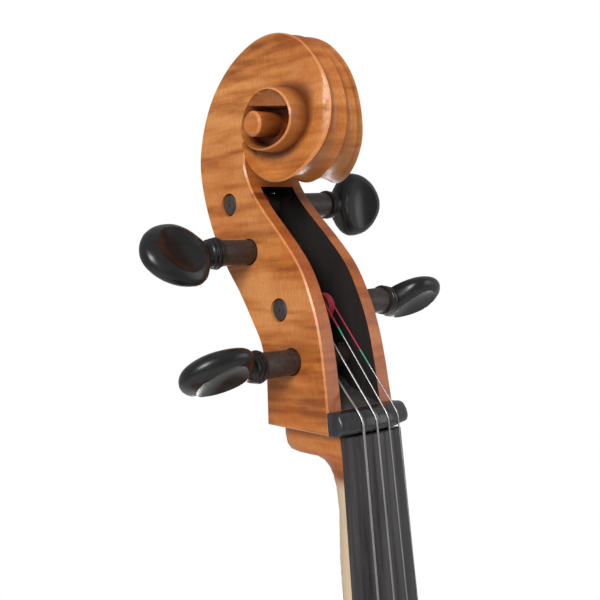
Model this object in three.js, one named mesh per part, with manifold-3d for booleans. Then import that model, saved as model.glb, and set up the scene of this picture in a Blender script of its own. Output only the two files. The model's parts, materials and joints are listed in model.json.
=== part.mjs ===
// A full-size cello in millimetres, +Z up. The belly faces -Y and the bass side is -X.
// The origin is the point where the endpin's rubber tip meets the floor.
// Two nested frames lean away from the upright body: the neck frame, whose Z runs up the
// fingerboard from the nut, and the tail frame, whose Z runs from the saddle to the bridge's top.

import * as THREE from "three";
import { mergeVertices } from "three/addons/utils/BufferGeometryUtils.js";
import Module from "manifold-3d";

const wasm = await Module();
wasm.setup();

// Driving dimensions
const GAP = 0.3; // air left between pieces that touch
const BODY_LIFT = 45; // bottom of the body above the floor, endpin pushed in
const BODY_LENGTH = 755;
const RIB_HEIGHT = 114;
const RIB_THICKNESS = 1.8;
const OVERHANG = 3.5; // plate edge beyond the ribs
const EDGE_THICKNESS = 4.5;
const PLATE_THICKNESS = 4.2;
const ARCH_HEIGHT = 24; // outer surface above the rib plane
const LINING = { thickness: 2.4, height: 11 };
const BRIDGE = { z: 355, height: 90, spacing: 15.6, radius: 60, foot: 12, crest: 3 };
const NECK_TILT = THREE.MathUtils.degToRad(9);
const NECK_LENGTH = 280; // nut to the body's edge
const OVERSTAND = 21; // fingerboard's gluing plane above the belly's edge
const BOARD = { length: 580, nutWidth: 34.7, endWidth: 63, side: 7.7, radius: 62 };
const NUT = { halfWidth: 23.7, height: 11.5, rise: 12.6, spacing: 8.4 };
const STRING_NAMES = ["c", "g", "d", "a"];
const STRING_DIAMETER = { c: 1.7, g: 1.4, d: 1.1, a: 0.9 };
const PEG_TAPER = 1 / 50; // radius lost for each millimetre
const PEG = { collarRadius: 6.7, headLength: 36, headHeight: 35, headThickness: 14 };
// where each peg's axis crosses the pegbox, which side its head is on, how far out the head's
// middle is, and where the string leaves it
const PEGS = {
  c: { y: 24, z: 36, side: -1, reach: 70.5, windingX: -8.5 },
  g: { y: 51, z: 92, side: -1, reach: 67.5, windingX: -6.5 },
  d: { y: 64.5, z: 117.5, side: 1, reach: 78, windingX: 1.5 },
  a: { y: 31, z: 61.5, side: 1, reach: 81, windingX: 9.5 },
};
const SCROLL_EYE = { y: 23.5, z: 153.5 };
const THROAT = { y: 44, low: 123, blend: 33 }; // where the pegbox runs into the scroll
const TAILPIECE = { start: 14, end: 247, lowWidth: 30, highWidth: 58 };
const TUNER = { spacing: 13.5, pivotZ: 236, screwZ: 210, slot: 4 };
const ENDPIN = { radius: 5, length: 500, collarRadius: 12.5 };

const RIB_FRONT = -RIB_HEIGHT / 2;
const RIB_BACK = RIB_HEIGHT / 2;
const BELLY_EDGE = RIB_FRONT - EDGE_THICKNESS;
const SADDLE_TOP = BELLY_EDGE - 6;
const BRIDGE_TOP = RIB_FRONT - ARCH_HEIGHT - BRIDGE.height;
const ROOT_FRONT = BELLY_EDGE - OVERSTAND;

// Finishes
const finish = (color, roughness, metalness = 0) =>
  new THREE.MeshStandardMaterial({ color, roughness, metalness });
const VARNISHED_MAPLE = finish(0xa5541f, 0.35);
const VARNISHED_SPRUCE = finish(0xb5672a, 0.35);
const BARE_MAPLE = finish(0xd9b98c, 0.6);
const BARE_SPRUCE = finish(0xdcc39a, 0.7);
const EBONY = finish(0x17130f, 0.4);
const PEG_WOOD = finish(0x1d1412, 0.22);
const STEEL = finish(0xb9bcc0, 0.3, 1);
const BRIDGE_MAPLE = finish(0xc99a62, 0.55);
const RUBBER = finish(0x141414, 0.85);
const CORD = finish(0x1b1b1d, 0.5);

// Solids
const toSolid = (geometry) => {
  geometry.deleteAttribute("normal");
  geometry.deleteAttribute("uv");
  const merged = mergeVertices(geometry, 1e-3);
  const triVerts = new Uint32Array(merged.index.array);
  const vertProperties = merged.attributes.position.array;
  return new wasm.Manifold(new wasm.Mesh({ numProp: 3, vertProperties, triVerts }));
};
const toGeometry = (solid) => {
  const mesh = solid.getMesh();
  const position = new THREE.BufferAttribute(mesh.vertProperties, 3);
  const geometry = new THREE.BufferGeometry().setAttribute("position", position);
  geometry.setIndex(new THREE.BufferAttribute(mesh.triVerts, 1));
  geometry.computeVertexNormals();
  return geometry;
};
const cut = (geometry, ...tools) =>
  toGeometry(tools.reduce((solid, tool) => solid.subtract(toSolid(tool)), toSolid(geometry)));
const join = (geometry, ...others) =>
  toGeometry(others.reduce((solid, other) => solid.add(toSolid(other)), toSolid(geometry)));

const triangles = (faces) => {
  const position = new Float32Array(faces.flatMap((p) => [p.x, p.y, p.z]));
  return new THREE.BufferGeometry().setAttribute("position", new THREE.BufferAttribute(position, 3));
};

// A closed skin through rings of points, each ring turning the same way, with flat ends.
const loft = (rings) => {
  const faces = [];
  for (let r = 0; r + 1 < rings.length; r++)
    rings[r].forEach((p, i) => {
      const next = (i + 1) % rings[r].length;
      faces.push(p, rings[r][next], rings[r + 1][next]);
      faces.push(p, rings[r + 1][next], rings[r + 1][i]);
    });
  const middle = (ring) =>
    ring.reduce((sum, p) => sum.add(p), new THREE.Vector3()).divideScalar(ring.length);
  const [first, last] = [rings[0], rings[rings.length - 1]];
  const [start, end] = [middle(first), middle(last)];
  first.forEach((p, i) => faces.push(start, first[(i + 1) % first.length], p));
  last.forEach((p, i) => faces.push(end, p, last[(i + 1) % last.length]));
  return triangles(faces);
};

// Extrusions: of an outline in X and Z along Y, of one in Y and Z along X, and a block.
const slab = (outline, y0, y1) => {
  const shape = outline instanceof THREE.Shape ? outline : new THREE.Shape(outline);
  const options = { depth: y1 - y0, bevelEnabled: false, curveSegments: 6 };
  return new THREE.ExtrudeGeometry(shape, options).rotateX(Math.PI / 2).translate(0, y1, 0);
};
const sidewise = (outline, x0, x1) => {
  const shape = outline instanceof THREE.Shape ? outline : new THREE.Shape(outline);
  const options = { depth: x1 - x0, bevelEnabled: false, curveSegments: 6 };
  const turn = new THREE.Matrix4().set(0, 0, 1, x0, 1, 0, 0, 0, 0, 1, 0, 0, 0, 0, 0, 1);
  return new THREE.ExtrudeGeometry(shape, options).applyMatrix4(turn);
};
const block = (x0, x1, y0, y1, z0, z1) =>
  new THREE.BoxGeometry(x1 - x0, y1 - y0, z1 - z0).translate(
    (x0 + x1) / 2,
    (y0 + y1) / 2,
    (z0 + z1) / 2,
  );
const rod = (r0, r1, length, sides) =>
  new THREE.CylinderGeometry(r1, r0, length, sides).translate(0, length / 2, 0);
const alongX = (geometry, x = 0, y = 0, z = 0) => geometry.rotateZ(-Math.PI / 2).translate(x, y, z);
const alongZ = (geometry, x = 0, y = 0, z = 0) => geometry.rotateX(Math.PI / 2).translate(x, y, z);
const v2 = (x, y) => new THREE.Vector2(x, y);
const v3 = (x, y, z) => new THREE.Vector3(x, y, z);
const mirrored = (points) => points.map((p) => v2(-p.x, p.y));

// A route whose own points are the steps of the tube along it.
class Route extends THREE.Curve {
  constructor(points) {
    super();
    this.points = points;
  }
  getUtoTmapping(u) {
    return u;
  }
  getPoint(t) {
    const place = t * (this.points.length - 1);
    const i = Math.min(Math.floor(place), this.points.length - 2);
    return this.points[i].clone().lerp(this.points[i + 1], place - i);
  }
}
const tube = (points, radius, sides = 6) => {
  const corner = (i) => v2(...[Math.cos, Math.sin].map((f) => radius * f((2 * Math.PI * i) / sides)));
  const section = new THREE.Shape(Array.from({ length: sides }, (_, i) => corner(i)));
  const options = { steps: points.length - 1, extrudePath: new Route(points) };
  return new THREE.ExtrudeGeometry(section, options);
};

// Frames
const cello = new THREE.Group();
const body = new THREE.Group();
body.position.z = BODY_LIFT;
cello.add(body);
const neckFrame = new THREE.Group();
neckFrame.rotation.x = -NECK_TILT;
neckFrame.position.y = ROOT_FRONT + NECK_LENGTH * Math.sin(NECK_TILT);
neckFrame.position.z = BODY_LENGTH + NECK_LENGTH * Math.cos(NECK_TILT);
body.add(neckFrame);
const tailFrame = new THREE.Group();
tailFrame.position.set(0, SADDLE_TOP, 2);
const tailRise = v2(BRIDGE.z - tailFrame.position.z, SADDLE_TOP - BRIDGE_TOP);
tailFrame.rotation.x = tailRise.angle();
body.add(tailFrame);
for (const frame of [neckFrame, tailFrame]) frame.updateMatrix();

const add = (parent, name, geometry, material) => {
  const mesh = new THREE.Mesh(geometry, material);
  mesh.name = name;
  parent.add(mesh);
  return mesh;
};

// The body's outline on the treble side, in three bouts that end at the corners
const lowerBout = new THREE.Path()
  .moveTo(0, 0)
  .bezierCurveTo(118, 0, 217.5, 62, 217.5, 158)
  .bezierCurveTo(217.5, 205, 190, 238, 180, 270)
  .bezierCurveTo(174, 288, 177, 303, 189, 318);
const waist = new THREE.Path()
  .moveTo(183, 327)
  .bezierCurveTo(165, 318, 115, 352, 115, 425)
  .bezierCurveTo(115, 478, 132, 510, 155, 519);
const upperBout = new THREE.Path()
  .moveTo(163, 526)
  .bezierCurveTo(150, 540, 149, 552, 153, 566)
  .bezierCurveTo(158, 582, 170, 594, 170, 612)
  .bezierCurveTo(170, 668, 128, 720, 72, 742)
  .bezierCurveTo(45, 752, 20, BODY_LENGTH, 0, BODY_LENGTH);
// the line inside the edge where the arching starts
const archLine = new THREE.Path()
  .moveTo(0, 16)
  .bezierCurveTo(108, 16, 201, 72, 201, 158)
  .bezierCurveTo(201, 232, 101, 300, 101, 425)
  .bezierCurveTo(101, 500, 154, 560, 154, 614)
  .bezierCurveTo(154, 664, 118, 708, 70, 727)
  .bezierCurveTo(45, 737, 20, 739, 0, 739);
const closedLoop = (half) => [
  ...half,
  ...mirrored(half)
    .reverse()
    .filter((p) => p.x < -0.01),
];
const edgeLoop = closedLoop([
  ...lowerBout.getPoints(7),
  ...waist.getPoints(11),
  ...upperBout.getPoints(7),
]);
const archLoop = closedLoop(archLine.getPoints(5));

// Height of the arching above the rib plane, at a share of the way in from the arch line
const archShare = (inward) => inward * inward * (3 - 2 * inward);
const lengthwise = (z) => Math.sqrt(Math.max(0, Math.sin((Math.PI * (z + 60)) / (BODY_LENGTH + 120))));
const archHeight = (inward, z, edge, crown) =>
  edge + (crown * lengthwise(z) - edge) * archShare(inward);
const SPINE = { low: 150, high: 610 };
const spinePoint = (z) => v2(0, THREE.MathUtils.clamp(z, SPINE.low, SPINE.high));
const finelyArched = archLine.getPoints(40);
// how far in a point lies, from 0 on the arch line to 1 on the spine
const inwardShare = (x, z) => {
  const centre = spinePoint(z);
  const bearing = (p) => Math.atan2(p.y - centre.y, p.x);
  const point = v2(Math.abs(x), z);
  const above = finelyArched.findIndex((p, i) => i > 0 && bearing(p) >= bearing(point));
  const [a, b] = [finelyArched[above - 1], finelyArched[above]];
  const share = (bearing(point) - bearing(a)) / (bearing(b) - bearing(a));
  return 1 - point.distanceTo(centre) / a.clone().lerp(b, share).distanceTo(centre);
};
const outerHeight = (x, z) => archHeight(inwardShare(x, z), z, EDGE_THICKNESS, ARCH_HEIGHT);
const innerHeight = (x, z) =>
  archHeight(inwardShare(x, z), z, 0, ARCH_HEIGHT - PLATE_THICKNESS);

// An arched plate whose inner face starts at y = face and whose arch rises towards -Y or +Y
const archedPlate = (face, outward) => {
  const shares = [0, 0.25, 0.5, 0.75, 0.95];
  const rings = shares.map((inward) => archLoop.map((p) => p.clone().lerp(spinePoint(p.y), inward)));
  const skin = (edge, crown) => {
    const place = (p, height) => v3(p.x, face + outward * height, p.y);
    const levels = rings.map((ring, k) =>
      ring.map((p) => place(p, archHeight(shares[k], p.y, edge, crown))),
    );
    const rim = edgeLoop.map((p) => place(p, edge));
    const band = THREE.ShapeUtils.triangulateShape([...edgeLoop], [[...archLoop]]);
    const crest = THREE.ShapeUtils.triangulateShape([...rings[shares.length - 1]], []);
    const bandPoints = [...rim, ...levels[0]];
    const faces = band.flat().map((i) => bandPoints[i]);
    faces.push(...crest.flat().map((i) => levels[levels.length - 1][i]));
    for (let k = 0; k + 1 < levels.length; k++)
      levels[k].forEach((p, i) => {
        const next = (i + 1) % levels[k].length;
        faces.push(p, levels[k][next], levels[k + 1][next]);
        faces.push(p, levels[k + 1][next], levels[k + 1][i]);
      });
    return { faces, rim };
  };
  const outer = skin(EDGE_THICKNESS, ARCH_HEIGHT);
  const inner = skin(0, ARCH_HEIGHT - PLATE_THICKNESS);
  const faces = [...outer.faces, ...inner.faces.reverse()];
  outer.rim.forEach((p, i) => {
    const next = (i + 1) % outer.rim.length;
    faces.push(p, inner.rim[i], inner.rim[next], p, inner.rim[next], outer.rim[next]);
  });
  return triangles(outward < 0 ? faces : faces.reverse());
};

// The two f-holes: a slanting stem between a small upper eye and a larger lower eye
const soundHole = (side) => {
  const stem = new THREE.CubicBezierCurve(v2(43, 433), v2(74, 447), v2(58, 275), v2(92, 291));
  const steps = 12;
  const edge = (way) =>
    Array.from({ length: steps + 1 }, (_, i) => {
      const [p, along] = [stem.getPoint(i / steps), stem.getTangent(i / steps)];
      const half = 1.6 + 2 * Math.sin((Math.PI * i) / steps);
      return v2(side * (p.x - way * along.y * half), p.y + way * along.x * half);
    });
  const eye = (x, z, radius) =>
    new THREE.CylinderGeometry(radius, radius, 60, 12).translate(side * x, RIB_FRONT - 20, z);
  return [
    slab([...edge(1), ...edge(-1).reverse()], RIB_FRONT - 40, RIB_FRONT + 5),
    eye(42, 427, 6),
    eye(92, 298, 7.5),
  ];
};

const saddleHalf = 20;
const rootHalf = 19;
const topPlate = () => {
  const saddleNotch = block(-saddleHalf - GAP, saddleHalf + GAP, -90, 0, -5, 10 + GAP);
  const neckNotch = block(-rootHalf - 0.6, rootHalf + 0.6, -90, 0, 742, 770);
  const holes = [...soundHole(-1), ...soundHole(1)];
  return cut(archedPlate(RIB_FRONT, -1), saddleNotch, neckNotch, ...holes);
};
const backPlate = () => {
  const button = new THREE.CylinderGeometry(15, 15, EDGE_THICKNESS, 20);
  button.translate(0, RIB_BACK + EDGE_THICKNESS / 2, BODY_LENGTH + 1);
  return join(archedPlate(RIB_BACK, 1), button);
};
add(body, "top_plate", topPlate(), VARNISHED_SPRUCE);
add(body, "back_plate", backPlate(), VARNISHED_MAPLE);

// Points along a bout at given distances from its start, moved in from its edge
const along = (bout, inset, distances) =>
  distances.map((mm) => {
    const u = mm / bout.getLength();
    const [p, t] = [bout.getPointAt(u), bout.getTangentAt(u)];
    return v2(p.x - t.y * inset, p.y + t.x * inset);
  });
const strip = (bout, inset, thickness, distances) => [
  ...along(bout, inset, distances),
  ...along(bout, inset + thickness, distances).reverse(),
];
const evenly = (from, to, steps) =>
  Array.from({ length: steps + 1 }, (_, i) => from + ((to - from) * i) / steps);

// Each rib runs from the end of one block to the end of the next, and the blocks take
// their share of the same stations, so that faces that touch have the same facets
const BLOCK = { endHalf: 62, corner: 30, tip: 6 };
const bout = (path, start, end, steps) => {
  const length = path.getLength();
  const first = evenly(start.from, start.block, 3);
  const last = evenly(length - end.block, length - end.from, 3);
  const middle = evenly(start.block, length - end.block, steps).slice(1, -1);
  return { path, first, last, lined: [start.block + 2, ...middle, length - end.block - 2], middle };
};
const cornerEnd = { from: 4, block: BLOCK.corner };
const bouts = {
  lower: bout(lowerBout, { from: 0.4, block: BLOCK.endHalf }, cornerEnd, 10),
  waist: bout(waist, cornerEnd, cornerEnd, 7),
  upper: bout(upperBout, cornerEnd, { from: 20, block: BLOCK.endHalf }, 7),
};
const sides = [
  ["bass", -1],
  ["treble", 1],
];
const onSide = (points, side) => (side < 0 ? mirrored(points) : points);
const BLOCK_INSET = OVERHANG + RIB_THICKNESS + GAP;
const collarHole = (extra) =>
  alongZ(rod(ENDPIN.collarRadius + extra, ENDPIN.collarRadius + extra, 60, 24), 0, 0, -10);

for (const [sideName, side] of sides)
  for (const [boutName, { path, first, middle, last, lined }] of Object.entries(bouts)) {
    const outline = strip(path, OVERHANG, RIB_THICKNESS, [...first, ...middle, ...last]);
    const rib = slab(onSide(outline, side), RIB_FRONT + GAP, RIB_BACK - GAP);
    const shape = boutName === "lower" ? cut(rib, collarHole(GAP)) : rib;
    add(body, `${boutName}_rib_${sideName}`, shape, VARNISHED_MAPLE);

    const lining = strip(path, BLOCK_INSET, LINING.thickness, lined);
    const spans = [
      ["front", RIB_FRONT + GAP, RIB_FRONT + LINING.height],
      ["back", RIB_BACK - LINING.height, RIB_BACK - GAP],
    ];
    for (const [face, y0, y1] of spans) {
      const geometry = slab(onSide(lining, side), y0, y1);
      add(body, `${boutName}_lining_${face}_${sideName}`, geometry, BARE_SPRUCE);
    }
  }

// Corner blocks fill the points where two bouts meet
const lowerCorner = [
  ...along(lowerBout, BLOCK_INSET, bouts.lower.last.slice(0, -1)),
  ...along(waist, BLOCK_INSET, bouts.waist.first.slice(1)),
];
const upperCorner = [
  ...along(waist, BLOCK_INSET, bouts.waist.last.slice(0, -1)),
  ...along(upperBout, BLOCK_INSET, bouts.upper.first.slice(1)),
];
for (const [sideName, side] of sides)
  for (const [level, outline] of [["lower", lowerCorner], ["upper", upperCorner]]) {
    const geometry = slab(onSide(outline, side), RIB_FRONT + GAP, RIB_BACK - GAP);
    add(body, `${level}_corner_block_${sideName}`, geometry, BARE_SPRUCE);
  }

// End blocks follow the ribs on their outer side; the neck's root sits in the upper one
const endBlock = (half, inner) => {
  const outline = [...mirrored(half).reverse(), ...half, v2(45, inner), v2(-45, inner)];
  return slab(outline, RIB_FRONT + GAP, RIB_BACK - GAP);
};
const topBlock = cut(
  endBlock(along(upperBout, BLOCK_INSET, bouts.upper.last).reverse(), 704),
  block(-rootHalf - GAP, rootHalf + GAP, -90, 90, 742, 770),
);
add(body, "top_block", topBlock, BARE_SPRUCE);
const bottomHalf = along(lowerBout, BLOCK_INSET, bouts.lower.first);
add(body, "bottom_block", cut(endBlock(bottomHalf, 34), collarHole(GAP)), BARE_SPRUCE);

// The bass bar follows the inside of the belly under the bridge's bass foot
const bassBar = () => {
  const [inner, outer] = [-34, -23];
  const [start, end, steps] = [100, 660, 12];
  const stations = Array.from({ length: steps + 1 }, (_, i) => start + ((end - start) * i) / steps);
  const ceiling = (z) => RIB_FRONT - Math.min(innerHeight(inner, z), innerHeight(outer, z)) + 1.6;
  const depth = (z) => 5 + 18 * Math.sin((Math.PI * (z - start)) / (end - start));
  const top = stations.map((z) => v2(ceiling(z), z));
  const bottom = stations.map((z) => v2(ceiling(z) + depth(z), z));
  return sidewise([...top, ...bottom.reverse()], inner, outer);
};
add(body, "bass_bar", bassBar(), BARE_SPRUCE);

const soundPost = () => {
  const [x, z, radius] = [27, BRIDGE.z - 18, 5.5];
  const reach = innerHeight(x + radius, z) - 1;
  const length = RIB_HEIGHT + 2 * reach;
  return new THREE.CylinderGeometry(radius, radius, length, 16).translate(x, 0, z);
};
add(body, "sound_post", soundPost(), BARE_SPRUCE);

const saddle = () => {
  const [back, top] = [RIB_FRONT - GAP, SADDLE_TOP + 0.9];
  const profile = new THREE.Shape()
    .moveTo(back, 10)
    .lineTo(top + 3, 10)
    .quadraticCurveTo(top, 7, top, 2)
    .quadraticCurveTo(top, -1, top + 4, -1)
    .lineTo(back, 0);
  return sidewise(profile, -saddleHalf, saddleHalf);
};
add(body, "saddle", saddle(), EBONY);

const oval = (x, y, rx, ry) => {
  const angles = Array.from({ length: 12 }, (_, i) => (Math.PI * i) / 6);
  return new THREE.Path(angles.map((a) => v2(x + rx * Math.cos(a), y + ry * Math.sin(a))));
};

// Bridge: two feet on the belly, legs, a heart and two kidneys, and a curved top edge
const bridgeCrest = (x) => BRIDGE_TOP + BRIDGE.radius - Math.sqrt(BRIDGE.radius ** 2 - x * x);
const footFace = (x) => RIB_FRONT - outerHeight(x, BRIDGE.z) - 1.0;
const bridge = () => {
  const up = (mm) => RIB_FRONT - ARCH_HEIGHT - mm;
  const crest = Array.from({ length: 9 }, (_, i) => 29 - (58 * i) / 8);
  const half = [
    v2(26, footFace(26)),
    v2(45, footFace(45)),
    v2(45, footFace(45) - 5),
    v2(38, up(12)),
    v2(36, up(28)),
    v2(43, up(40)),
    v2(40, up(48)),
    v2(33, up(58)),
  ];
  const archway = [v2(-22, up(12)), v2(-12, up(24)), v2(0, up(27)), v2(12, up(24)), v2(22, up(12))];
  const outline = [
    ...half,
    ...crest.map((x) => v2(x, bridgeCrest(x) + 1)),
    ...mirrored(half).reverse(),
    ...archway,
  ];
  const shape = new THREE.Shape(outline);
  shape.holes = [oval(-26, up(47), 6, 4.5), oval(26, up(47), 6, 4.5), oval(0, up(58), 5, 7)];
  const options = { depth: 1, bevelEnabled: false, curveSegments: 6 };
  const geometry = new THREE.ExtrudeGeometry(shape, options);
  const at = geometry.attributes.position;
  for (let i = 0; i < at.count; i++) {
    const share = (RIB_FRONT - at.getY(i)) / (RIB_FRONT - BRIDGE_TOP);
    const thickness = THREE.MathUtils.lerp(BRIDGE.foot, BRIDGE.crest, share);
    at.setZ(i, BRIDGE.z + (at.getZ(i) - 0.5) * thickness);
  }
  return geometry;
};
add(body, "bridge", bridge(), BRIDGE_MAPLE);

// Neck: a rounded handle that swells into the root, which goes into the top block
const inBody = (y, z) => v3(0, y, z).applyMatrix4(neckFrame.matrix);
const neck = () => {
  const tiltDown = v3(0, Math.cos(NECK_TILT), -Math.sin(NECK_TILT));
  const straightBack = v3(0, 1, 0);
  // distance below the nut, half width at the front, depth, and how far the section has turned level
  const stations = [
    { below: 0.3, half: 17.3, depth: 20, level: 0 },
    { below: 60, half: 18.2, depth: 20.5, level: 0 },
    { below: 140, half: 19.3, depth: 21.5, level: 0 },
    { below: 205, half: 20.3, depth: 23, level: 0 },
    { below: 232, half: 20.7, depth: 28, level: 0.1 },
    { below: 250, half: 20.9, depth: 46, level: 0.3 },
    { below: 260, half: 20.9, depth: 74, level: 0.5 },
    { below: 267, half: 20.9, depth: 106, level: 0.7 },
    { below: 273, half: 20, depth: 134, level: 0.9 },
    { below: 278, half: rootHalf, depth: 139, level: 1 },
    { below: 292, half: rootHalf, depth: 139, level: 1 },
  ];
  const rings = stations.map(({ below, half, depth, level }) => {
    const front = inBody(GAP, -below);
    const back = tiltDown.clone().lerp(straightBack, level).normalize();
    const reach = level === 1 ? RIB_BACK - GAP - front.y : depth;
    const taper = THREE.MathUtils.lerp(1, 0.72, THREE.MathUtils.clamp((reach - 30) / 100, 0, 1));
    // the section goes from a half oval on the handle to a tapered box at the root
    const squareness = THREE.MathUtils.clamp((reach - 22) / 80, 0, 1);
    return Array.from({ length: 14 }, (_, i) => {
      const angle = (Math.PI * i) / 13;
      const [c, s] = [Math.cos(angle), Math.sin(angle)];
      const stretch = 1 / Math.max(Math.abs(c), s);
      const grow = THREE.MathUtils.lerp(1, stretch, squareness);
      const share = Math.min(1, s * grow);
      const x = half * Math.max(-1, Math.min(1, c * grow)) * THREE.MathUtils.lerp(1, taper, share);
      return front.clone().add(back.clone().multiplyScalar(reach * share)).setX(x);
    });
  });
  return loft(rings.reverse());
};
add(body, "neck", neck(), BARE_MAPLE);

// Fingerboard: flat underneath, a cylinder's arc on top, widening towards the bridge
const fingerboard = () => {
  const section = (below, hollow) => {
    const half = THREE.MathUtils.lerp(BOARD.nutWidth, BOARD.endWidth, below / BOARD.length) / 2;
    const drop = (x) => Math.sqrt(BOARD.radius ** 2 - x * x) - Math.sqrt(BOARD.radius ** 2 - half ** 2);
    const top = Array.from({ length: 9 }, (_, i) => half * Math.cos((Math.PI * i) / 8));
    const under = [-0.8, -0.4, 0, 0.4, 0.8].map((share) =>
      v3(half * share, -hollow * (1 - share * share), -below),
    );
    return [...top.map((x) => v3(x, -BOARD.side - drop(x), -below)), v3(-half, 0, -below), ...under, v3(half, 0, -below)];
  };
  const hollowStart = NECK_LENGTH + 4;
  const stations = [[GAP, 0], [hollowStart, 0], [hollowStart + 16, 5], [BOARD.length, 7]];
  return loft(stations.map(([below, hollow]) => section(below, hollow)));
};
add(neckFrame, "fingerboard", fingerboard(), EBONY);

// Nut: as wide as the pegbox, rounded over the top
const crossing = (i) => (i - 1.5) * NUT.spacing;
const nutRise = (x) => NUT.rise - (BOARD.radius - Math.sqrt(BOARD.radius ** 2 - x * x));
const nut = () => {
  const profile = (rise) => {
    const [low, high] = [GAP, NUT.height];
    return [
      [1.6, low],
      [-rise + 4.5, low],
      [-rise + 1, 2.2],
      [-rise, 5.2],
      [-rise + 1.2, 8.4],
      [-rise + 4.5, high],
      [1.6, high],
    ];
  };
  const places = Array.from({ length: 7 }, (_, i) => NUT.halfWidth * ((i - 3) / 3));
  const rings = places.map((x) => profile(nutRise(x) - 0.9).map(([y, z]) => v3(x, y, z)));
  return loft(rings.reverse());
};
add(neckFrame, "nut", nut(), EBONY);

// Head: pegbox and scroll in one piece of wood
const cheekHalf = (z) => 23.9 - 5.4 * THREE.MathUtils.clamp(z / 128, 0, 1);
const cavityHalf = (z) => 14.2 - 3 * THREE.MathUtils.clamp(z / 128, 0, 1);
const widened = (geometry, halfWidthAt) => {
  const at = geometry.attributes.position;
  for (let i = 0; i < at.count; i++)
    at.setX(i, Math.sign(at.getX(i)) * halfWidthAt(at.getY(i), at.getZ(i)));
  return geometry;
};
// The volute's radius and half width at each quarter turn from the back, going over the top
const VOLUTE_RADIUS = [62, 44.1, 29.4, 29.6, 20.5, 17.5, 17, 15, 12];
const VOLUTE_HALF_WIDTH = [17.4, 10.4, 12, 21.6, 25.2, 25.3, 25.5, 26.8, 27.2];
const quarterly = (values, turns) => {
  const place = THREE.MathUtils.clamp(turns * 4, 0, values.length - 1);
  const curve = new THREE.SplineCurve(values.map((value, i) => v2(i, value)));
  return curve.getPoint(place / (values.length - 1)).y;
};
const volutePoint = (turns) => {
  const radius = quarterly(VOLUTE_RADIUS, turns);
  const angle = 2 * Math.PI * turns;
  return v2(SCROLL_EYE.y + radius * Math.cos(angle), SCROLL_EYE.z + radius * Math.sin(angle));
};
const voluteStretch = (from, to, steps) =>
  Array.from({ length: steps + 1 }, (_, i) => volutePoint(from + ((to - from) * i) / steps));
const turnsAt = (y, z, first) => {
  const turns = Math.atan2(z - SCROLL_EYE.z, y - SCROLL_EYE.y) / (2 * Math.PI);
  return first + (turns < -0.02 ? turns + 1 : turns);
};

const head = () => {
  const spine = new THREE.SplineCurve([
    v2(36, -9.5),
    v2(43.4, 5),
    v2(43.4, 30),
    v2(50.8, 55),
    v2(69.5, 85),
    v2(83.3, 117),
    v2(86.3, 142),
  ]);
  const front = [v2(50.7, 136), v2(45.9, 122), v2(25.1, 95.6), v2(8.1, 65), v2(2.5, 34), v2(2.2, GAP)];
  const chin = [v2(20.6, GAP), v2(22, -6)];
  const firstTurn = voluteStretch(0.02, 0.97, 22);
  const side = [...spine.getPoints(14), ...firstTurn, ...front, ...chin];
  const sheer = sidewise(side, -1, 1);
  // the cheeks' own taper up to the throat, then half way or more to the volute's width
  const wide = (y, z) => {
    if (z < THROAT.low) return cheekHalf(z);
    const onThroat = y > THROAT.y && z < SCROLL_EYE.z;
    const turned = onThroat ? 0 : turnsAt(y, z, 0);
    const share = THREE.MathUtils.clamp((z - THROAT.low) / THROAT.blend, 0.5, 1);
    return THREE.MathUtils.lerp(cheekHalf(z), quarterly(VOLUTE_HALF_WIDTH, turned), share);
  };
  const blank = widened(sheer, wide);
  const secondTurn = widened(sidewise(voluteStretch(1, 2, 20), -1, 1), (y, z) =>
    quarterly(VOLUTE_HALF_WIDTH, turnsAt(y, z, 1)),
  );
  const eye = alongX(rod(6.4, 6.4, 61, 16), -30.5, SCROLL_EYE.y + 6, SCROLL_EYE.z - 0.6);
  const trough = [
    v2(-20, 13),
    v2(2, 12.5),
    v2(20, 20),
    v2(33, 34),
    v2(42, 58),
    v2(60, 84),
    v2(72, 108),
    v2(74, 126),
    v2(62, 131),
    v2(50, 127),
    v2(46, 117),
    v2(25, 90),
    v2(0, 60),
    v2(-20, 40),
  ];
  const cavity = widened(sidewise(trough, -1, 1), (y, z) => cavityHalf(z));
  const holes = Object.values(PEGS).map(({ y, z, side: way }) => {
    const radius = (x) => PEG.collarRadius - (45 - x * way) * PEG_TAPER + 0.3;
    return alongX(rod(radius(-40), radius(40), 80, 16), -40, y, z);
  });
  return cut(join(blank, secondTurn, eye), cavity, ...holes);
};
add(neckFrame, "pegbox_and_scroll", head(), VARNISHED_MAPLE);

// Pegs: a tapered shaft through both cheeks, a turned collar and an oval head
const peg = ({ z, reach }) => {
  const cheek = cheekHalf(z);
  const collar = reach - PEG.headLength / 2 - 9;
  const radius = (x) => PEG.collarRadius - (45 - x) * PEG_TAPER;
  const profile = [
    v2(0, -cheek + 0.8),
    v2(radius(-cheek), -cheek + 0.8),
    v2(radius(collar), collar),
    v2(9.4, collar + 0.6),
    v2(9.4, collar + 3),
    v2(8, collar + 3.8),
    v2(8.4, collar + 5.5),
    v2(5.4, collar + 7.5),
    v2(5, collar + 11),
    v2(0, collar + 11),
  ];
  const shaft = alongX(new THREE.LatheGeometry(profile, 12));
  const knob = new THREE.SphereGeometry(1, 12, 8);
  knob.scale(PEG.headLength / 2, PEG.headHeight / 2, PEG.headThickness / 2);
  return join(shaft, knob.translate(reach, 0, 0));
};
const winding = (shaftRadius, diameter) => {
  const [near, far, half] = [shaftRadius + GAP, shaftRadius + GAP + diameter, 2.4 * diameter];
  const profile = [v2(near, -half), v2(far, -half), v2(far, half), v2(near, half), v2(near, -half)];
  return alongX(new THREE.LatheGeometry(profile, 16));
};
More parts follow.
